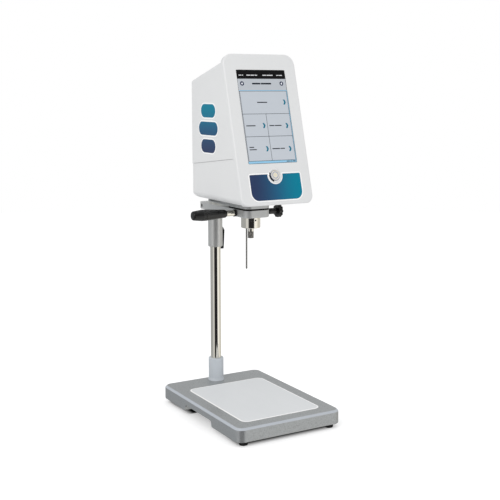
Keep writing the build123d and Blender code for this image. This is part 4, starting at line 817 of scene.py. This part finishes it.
# %% Tiles and the lines between them
LINE = 0.75
TILE_CORNER = 0.6
tiles = bmesh.new()
lines = bmesh.new()
cells = [(TILE_LEFT, TILE_RIGHT, ROW_SPLITS[0], TILES_TOP)]
for low, high in ((ROW_SPLITS[1], ROW_SPLITS[0]), (TILES_LOW, ROW_SPLITS[1])):
    cells.append((TILE_LEFT, COLUMN_SPLIT, low, high))
    cells.append((COLUMN_SPLIT, TILE_RIGHT, low, high))
add_tile(lines, (TILE_LEFT + TILE_RIGHT) / 2, tiles_middle,
         TILE_RIGHT - TILE_LEFT + LINE, TILES_TOP - TILES_LOW + LINE, BAR_UP, PLATE)
for left, right, low, high in cells:
    add_tile(tiles, (left + right) / 2, (low + high) / 2,
             right - left - LINE, high - low - LINE, TILE_UP, PLATE, TILE_CORNER)
keep(lines, "screen_tile_lines", line_dark, "carriage", ON_GLASS)
keep(tiles, "screen_tiles", tile_light, "carriage", ON_GLASS)

# %% Chevrons
CHEVRON_TALL = 8.4
CHEVRON_WIDE = 5.2
CHEVRON_ARM = 3.2
CHEVRON_PLACES = ((37.6, 100.6), (-7.2, 62.1), (36.3, 61.4), (-7.0, 23.9), (36.3, 23.0))


def add_chevron(bm, x, y):
    """A mark that points to the right."""
    half = CHEVRON_TALL / 2
    left = x - CHEVRON_WIDE / 2
    tip = x + CHEVRON_WIDE / 2
    points = [(left, y - half), (left + CHEVRON_ARM, y - half), (tip, y), (left + CHEVRON_ARM, y + half),
              (left, y + half), (tip - CHEVRON_ARM, y)]
    add_outline(bm, points, SIGN_UP, PLATE)


chevrons = bmesh.new()
for x, y in CHEVRON_PLACES:
    add_chevron(chevrons, x, y)
keep(chevrons, "screen_chevrons", teal_mark, "carriage", ON_GLASS)


# %% Labels as short bars
WORD_GAP = 0.9
WORD_ROUND = 0.3                   # corner of a bar, as a share of its height
LABELS = (                         # left, right, height up the glass, tall, shares of the words
    (-14.5, 4.4, 100.4, 1.7, (1,)),
    (-40.6, -23.4, 62.1, 1.6, (1,)),
    (2.8, 25.8, 61.8, 1.6, (3, 4)),
    (-40.2, -31.5, 27.0, 1.5, (1,)),
    (-40.2, -27.0, 23.1, 1.5, (1,)),
    (2.4, 26.4, 23.7, 1.6, (5, 3)),
    (26.0, 43.6, 2.3, 1.3, (2, 1, 2)),
)
TITLE = (-19.0, 17.0, 131.4, 2.6, (4, 5))
READOUTS_DOWN = 0.58               # how far down the status bar its words stand
READOUTS = (                       # left, right, tall, shares of the words
    (-42.0, -33.5, 1.3, (2, 1)),
    (-27.5, -7.5, 1.5, (3, 3, 2)),
    (2.5, 22.0, 1.5, (3, 5)),
    (29.0, 40.0, 1.3, (1, 2)),
)


def add_label(bm, left, right, y, tall, words):
    """A row of bars from left to right; words are their shares of the row."""
    room = right - left - WORD_GAP * (len(words) - 1)
    x = left
    for share in words:
        wide = room * share / sum(words)
        add_tile(bm, x + wide / 2, y, wide, tall, SIGN_UP, PLATE, tall * WORD_ROUND)
        x += wide + WORD_GAP


labels = bmesh.new()
for label in LABELS:
    add_label(labels, *label)
keep(labels, "screen_labels", text_dark, "carriage", ON_GLASS)

title = bmesh.new()
add_label(title, *TITLE)
keep(title, "screen_title", text_dark, "carriage", ON_GLASS)

readouts = bmesh.new()
for left, right, tall, words in READOUTS:
    add_label(readouts, left, right, status_top - STATUS_TALL * READOUTS_DOWN, tall, words)
keep(readouts, "screen_readouts", text_pale, "carriage", ON_GLASS)

# %% Header icons
ICON_LEFT, ICON_RIGHT, ICON_Y = -37.6, 36.8, 131.6
ICON_RADIUS = 3.6
ICON_THICK = 0.04
ICON_SIGN_UP = 0.10
DIAMOND_WIDE, DIAMOND_TALL = 3.2, 4.0
WALL_WIDE, WALL_TALL, WALL_CORNER = 2.2, 1.9, 0.3
WALL_DROP = 0.6                    # middle of the house's wall under the icon's middle
ROOF_WIDE, ROOF_TALL = 3.2, 1.8
ROOF_LIFT = 0.3                    # eaves above the icon's middle
icon_discs = bmesh.new()
icon_signs = bmesh.new()
for x in (ICON_LEFT, ICON_RIGHT):
    add_disc(icon_discs, x, ICON_Y, ICON_RADIUS, BAR_UP, ICON_THICK)
diamond = [
    (ICON_LEFT, ICON_Y - DIAMOND_TALL / 2), (ICON_LEFT + DIAMOND_WIDE / 2, ICON_Y),
    (ICON_LEFT, ICON_Y + DIAMOND_TALL / 2), (ICON_LEFT - DIAMOND_WIDE / 2, ICON_Y),
]
eaves = ICON_Y + ROOF_LIFT
roof = [
    (ICON_RIGHT - ROOF_WIDE / 2, eaves), (ICON_RIGHT + ROOF_WIDE / 2, eaves), (ICON_RIGHT, eaves + ROOF_TALL),
]
add_outline(icon_signs, diamond, ICON_SIGN_UP, PLATE)
add_tile(icon_signs, ICON_RIGHT, ICON_Y - WALL_DROP, WALL_WIDE, WALL_TALL, ICON_SIGN_UP, PLATE, WALL_CORNER)
add_outline(icon_signs, roof, ICON_SIGN_UP, PLATE)
keep(icon_discs, "screen_icon_discs", navy_icon, "carriage", ON_GLASS)
keep(icon_signs, "screen_icon_signs", white_icon, "carriage", ON_GLASS)

# %% [markdown]
# ## Painted highlight round the panel
# A thin white line round the printed panel is a painted highlight on the edge of the pocket that the
# foil sits in. It follows the panel's own outline: round lower corners, tighter upper ones, and a
# notch round the button. The inner and the outer edge are two closed loops with the same number of
# points, so bridge_loops joins them with quads.

# %% Panel line
PANEL_THICK = 1.0
PANEL_TALL = 42.1
PANEL_CORNER_LOW = 12.85
PANEL_CORNER_TOP = 2.0
PANEL_NOTCH = 14.35
BUTTON_DROP = 2.35                  # button's middle under the panel's upper edge
RING_CLEAR = 12.5                   # the line stops here, just outside the button's ring
NOTCH_STEPS = 36
LINE_FROM, LINE_TO = 0.2, 2.2       # the line's edges, outwards from the panel's
LINE_SINK = 0.17                    # its back, under the panel's front edge
LINE_THICK = 0.1
panel_half = (foil_high.x - foil_low.x) / 2 / MM
panel_foot = Vector(
    ((foil_low.x + foil_high.x) / 2, foil_low.y, foil_low.z + PANEL_THICK * MM * math.sin(LEAN))
)
ON_PANEL = Matrix.Translation(panel_foot) @ Matrix.Rotation(math.pi / 2 - LEAN, 4, "X")


def arc_points(x, y, radius_mm, start, end, steps=12):
    """Points along an arc, angles in degrees."""
    angles = [math.radians(start + (end - start) * step / steps) for step in range(steps + 1)]
    return [(x + radius_mm * math.cos(a), y + radius_mm * math.sin(a)) for a in angles]


def panel_edge(grow):
    """The panel's outline, grown by grow millimetres, from the upper left corner clockwise."""
    side, top = panel_half + grow, PANEL_TALL + grow
    low_round, top_round = PANEL_CORNER_LOW + grow, PANEL_CORNER_TOP + grow
    notch = max(PANEL_NOTCH - grow, RING_CLEAR)
    meets = math.degrees(math.asin((BUTTON_DROP + grow) / notch))
    middle = PANEL_TALL - BUTTON_DROP
    points = arc_points(-side + top_round, top - top_round, top_round, 180, 90)
    points += arc_points(0, middle, notch, 180 - meets, 360 + meets, NOTCH_STEPS)
    points += arc_points(side - top_round, top - top_round, top_round, 90, 0)
    points += arc_points(side - low_round, low_round - grow, low_round, 0, -90)
    return points + arc_points(-side + low_round, low_round - grow, low_round, -90, -180)


line = bmesh.new()
for grow in (LINE_FROM, LINE_TO):
    loop = [line.verts.new((x * MM, y * MM, -LINE_SINK * MM)) for x, y in panel_edge(grow)]
    for here, after in zip(loop, loop[1:] + loop[:1]):
        line.edges.new((here, after))
joined = bmesh.ops.bridge_loops(line, edges=line.edges[:])
thicken(line, joined["faces"], LINE_THICK * MM)
# One white serves twice: as the painted highlight in the line round the panel, and as the printed white
# outline of the side accent.
white_print_and_highlight = plain_part("white_print_and_highlight", tone(250, 250, 250), tone(254, 254, 254), 0.02, 0.3)
keep(line, "panel_edge_highlight", white_print_and_highlight, "carriage", ON_PANEL)

# %% [markdown]
# ## Accent on the side
# The left side carries a printed accent about eighty millimetres tall. Here it is three stacked
# bars with round ends, in the panel's inks, on a slightly larger white base that leaves a pale
# outline. It is a thin sticker, so the bars stand a fifth of a millimetre off the cover.

# %% Side accent
ACCENT_MIDDLE_Y = 15.0
ACCENT_MIDDLE_Z = 498.5
BAR_WIDE = (50.0, 66.0, 50.0)
BAR_TALL = 22.0
BAR_PITCH = 29.0
BAR_THICK = 0.2
ROUND_END = 0.499                  # an end's corner as a share of the bar's height
KEYLINE = 2.2
KEYLINE_SINK = 0.05
KEYLINE_THICK = 0.13
KEYLINE_STEP = 0.01                # each base is this much thinner than the one below it
GRADIENT_REACH = 45.0              # the inks run this far below and above the middle

side_x_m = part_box("housing_shell")[0].x
ON_SIDE = (
    Matrix.Translation((side_x_m, ACCENT_MIDDLE_Y * MM, ACCENT_MIDDLE_Z * MM))
    @ Matrix.Rotation(-math.pi / 2, 4, "Z")
    @ Matrix.Rotation(math.pi / 2, 4, "X")
)
ink_low = (ACCENT_MIDDLE_Z - GRADIENT_REACH) * MM
ink_high = (ACCENT_MIDDLE_Z + GRADIENT_REACH) * MM
side_ink = ink("side_ink", "Z", ink_low, ink_high, 0.1)

keylines = bmesh.new()
bars = bmesh.new()
for row, wide in enumerate(BAR_WIDE):
    height = (row - 1) * BAR_PITCH
    outer = BAR_TALL + 2 * KEYLINE
    thick = KEYLINE_THICK - KEYLINE_STEP * row
    add_tile(keylines, 0, height, wide + 2 * KEYLINE, outer, -KEYLINE_SINK, thick, outer * ROUND_END)
    add_tile(bars, 0, height, wide, BAR_TALL, 0.0, BAR_THICK, BAR_TALL * ROUND_END)
keep(keylines, "side_accent_outline", white_print_and_highlight, "carriage", ON_SIDE)
keep(bars, "side_accent_bars", side_ink, "carriage", ON_SIDE)
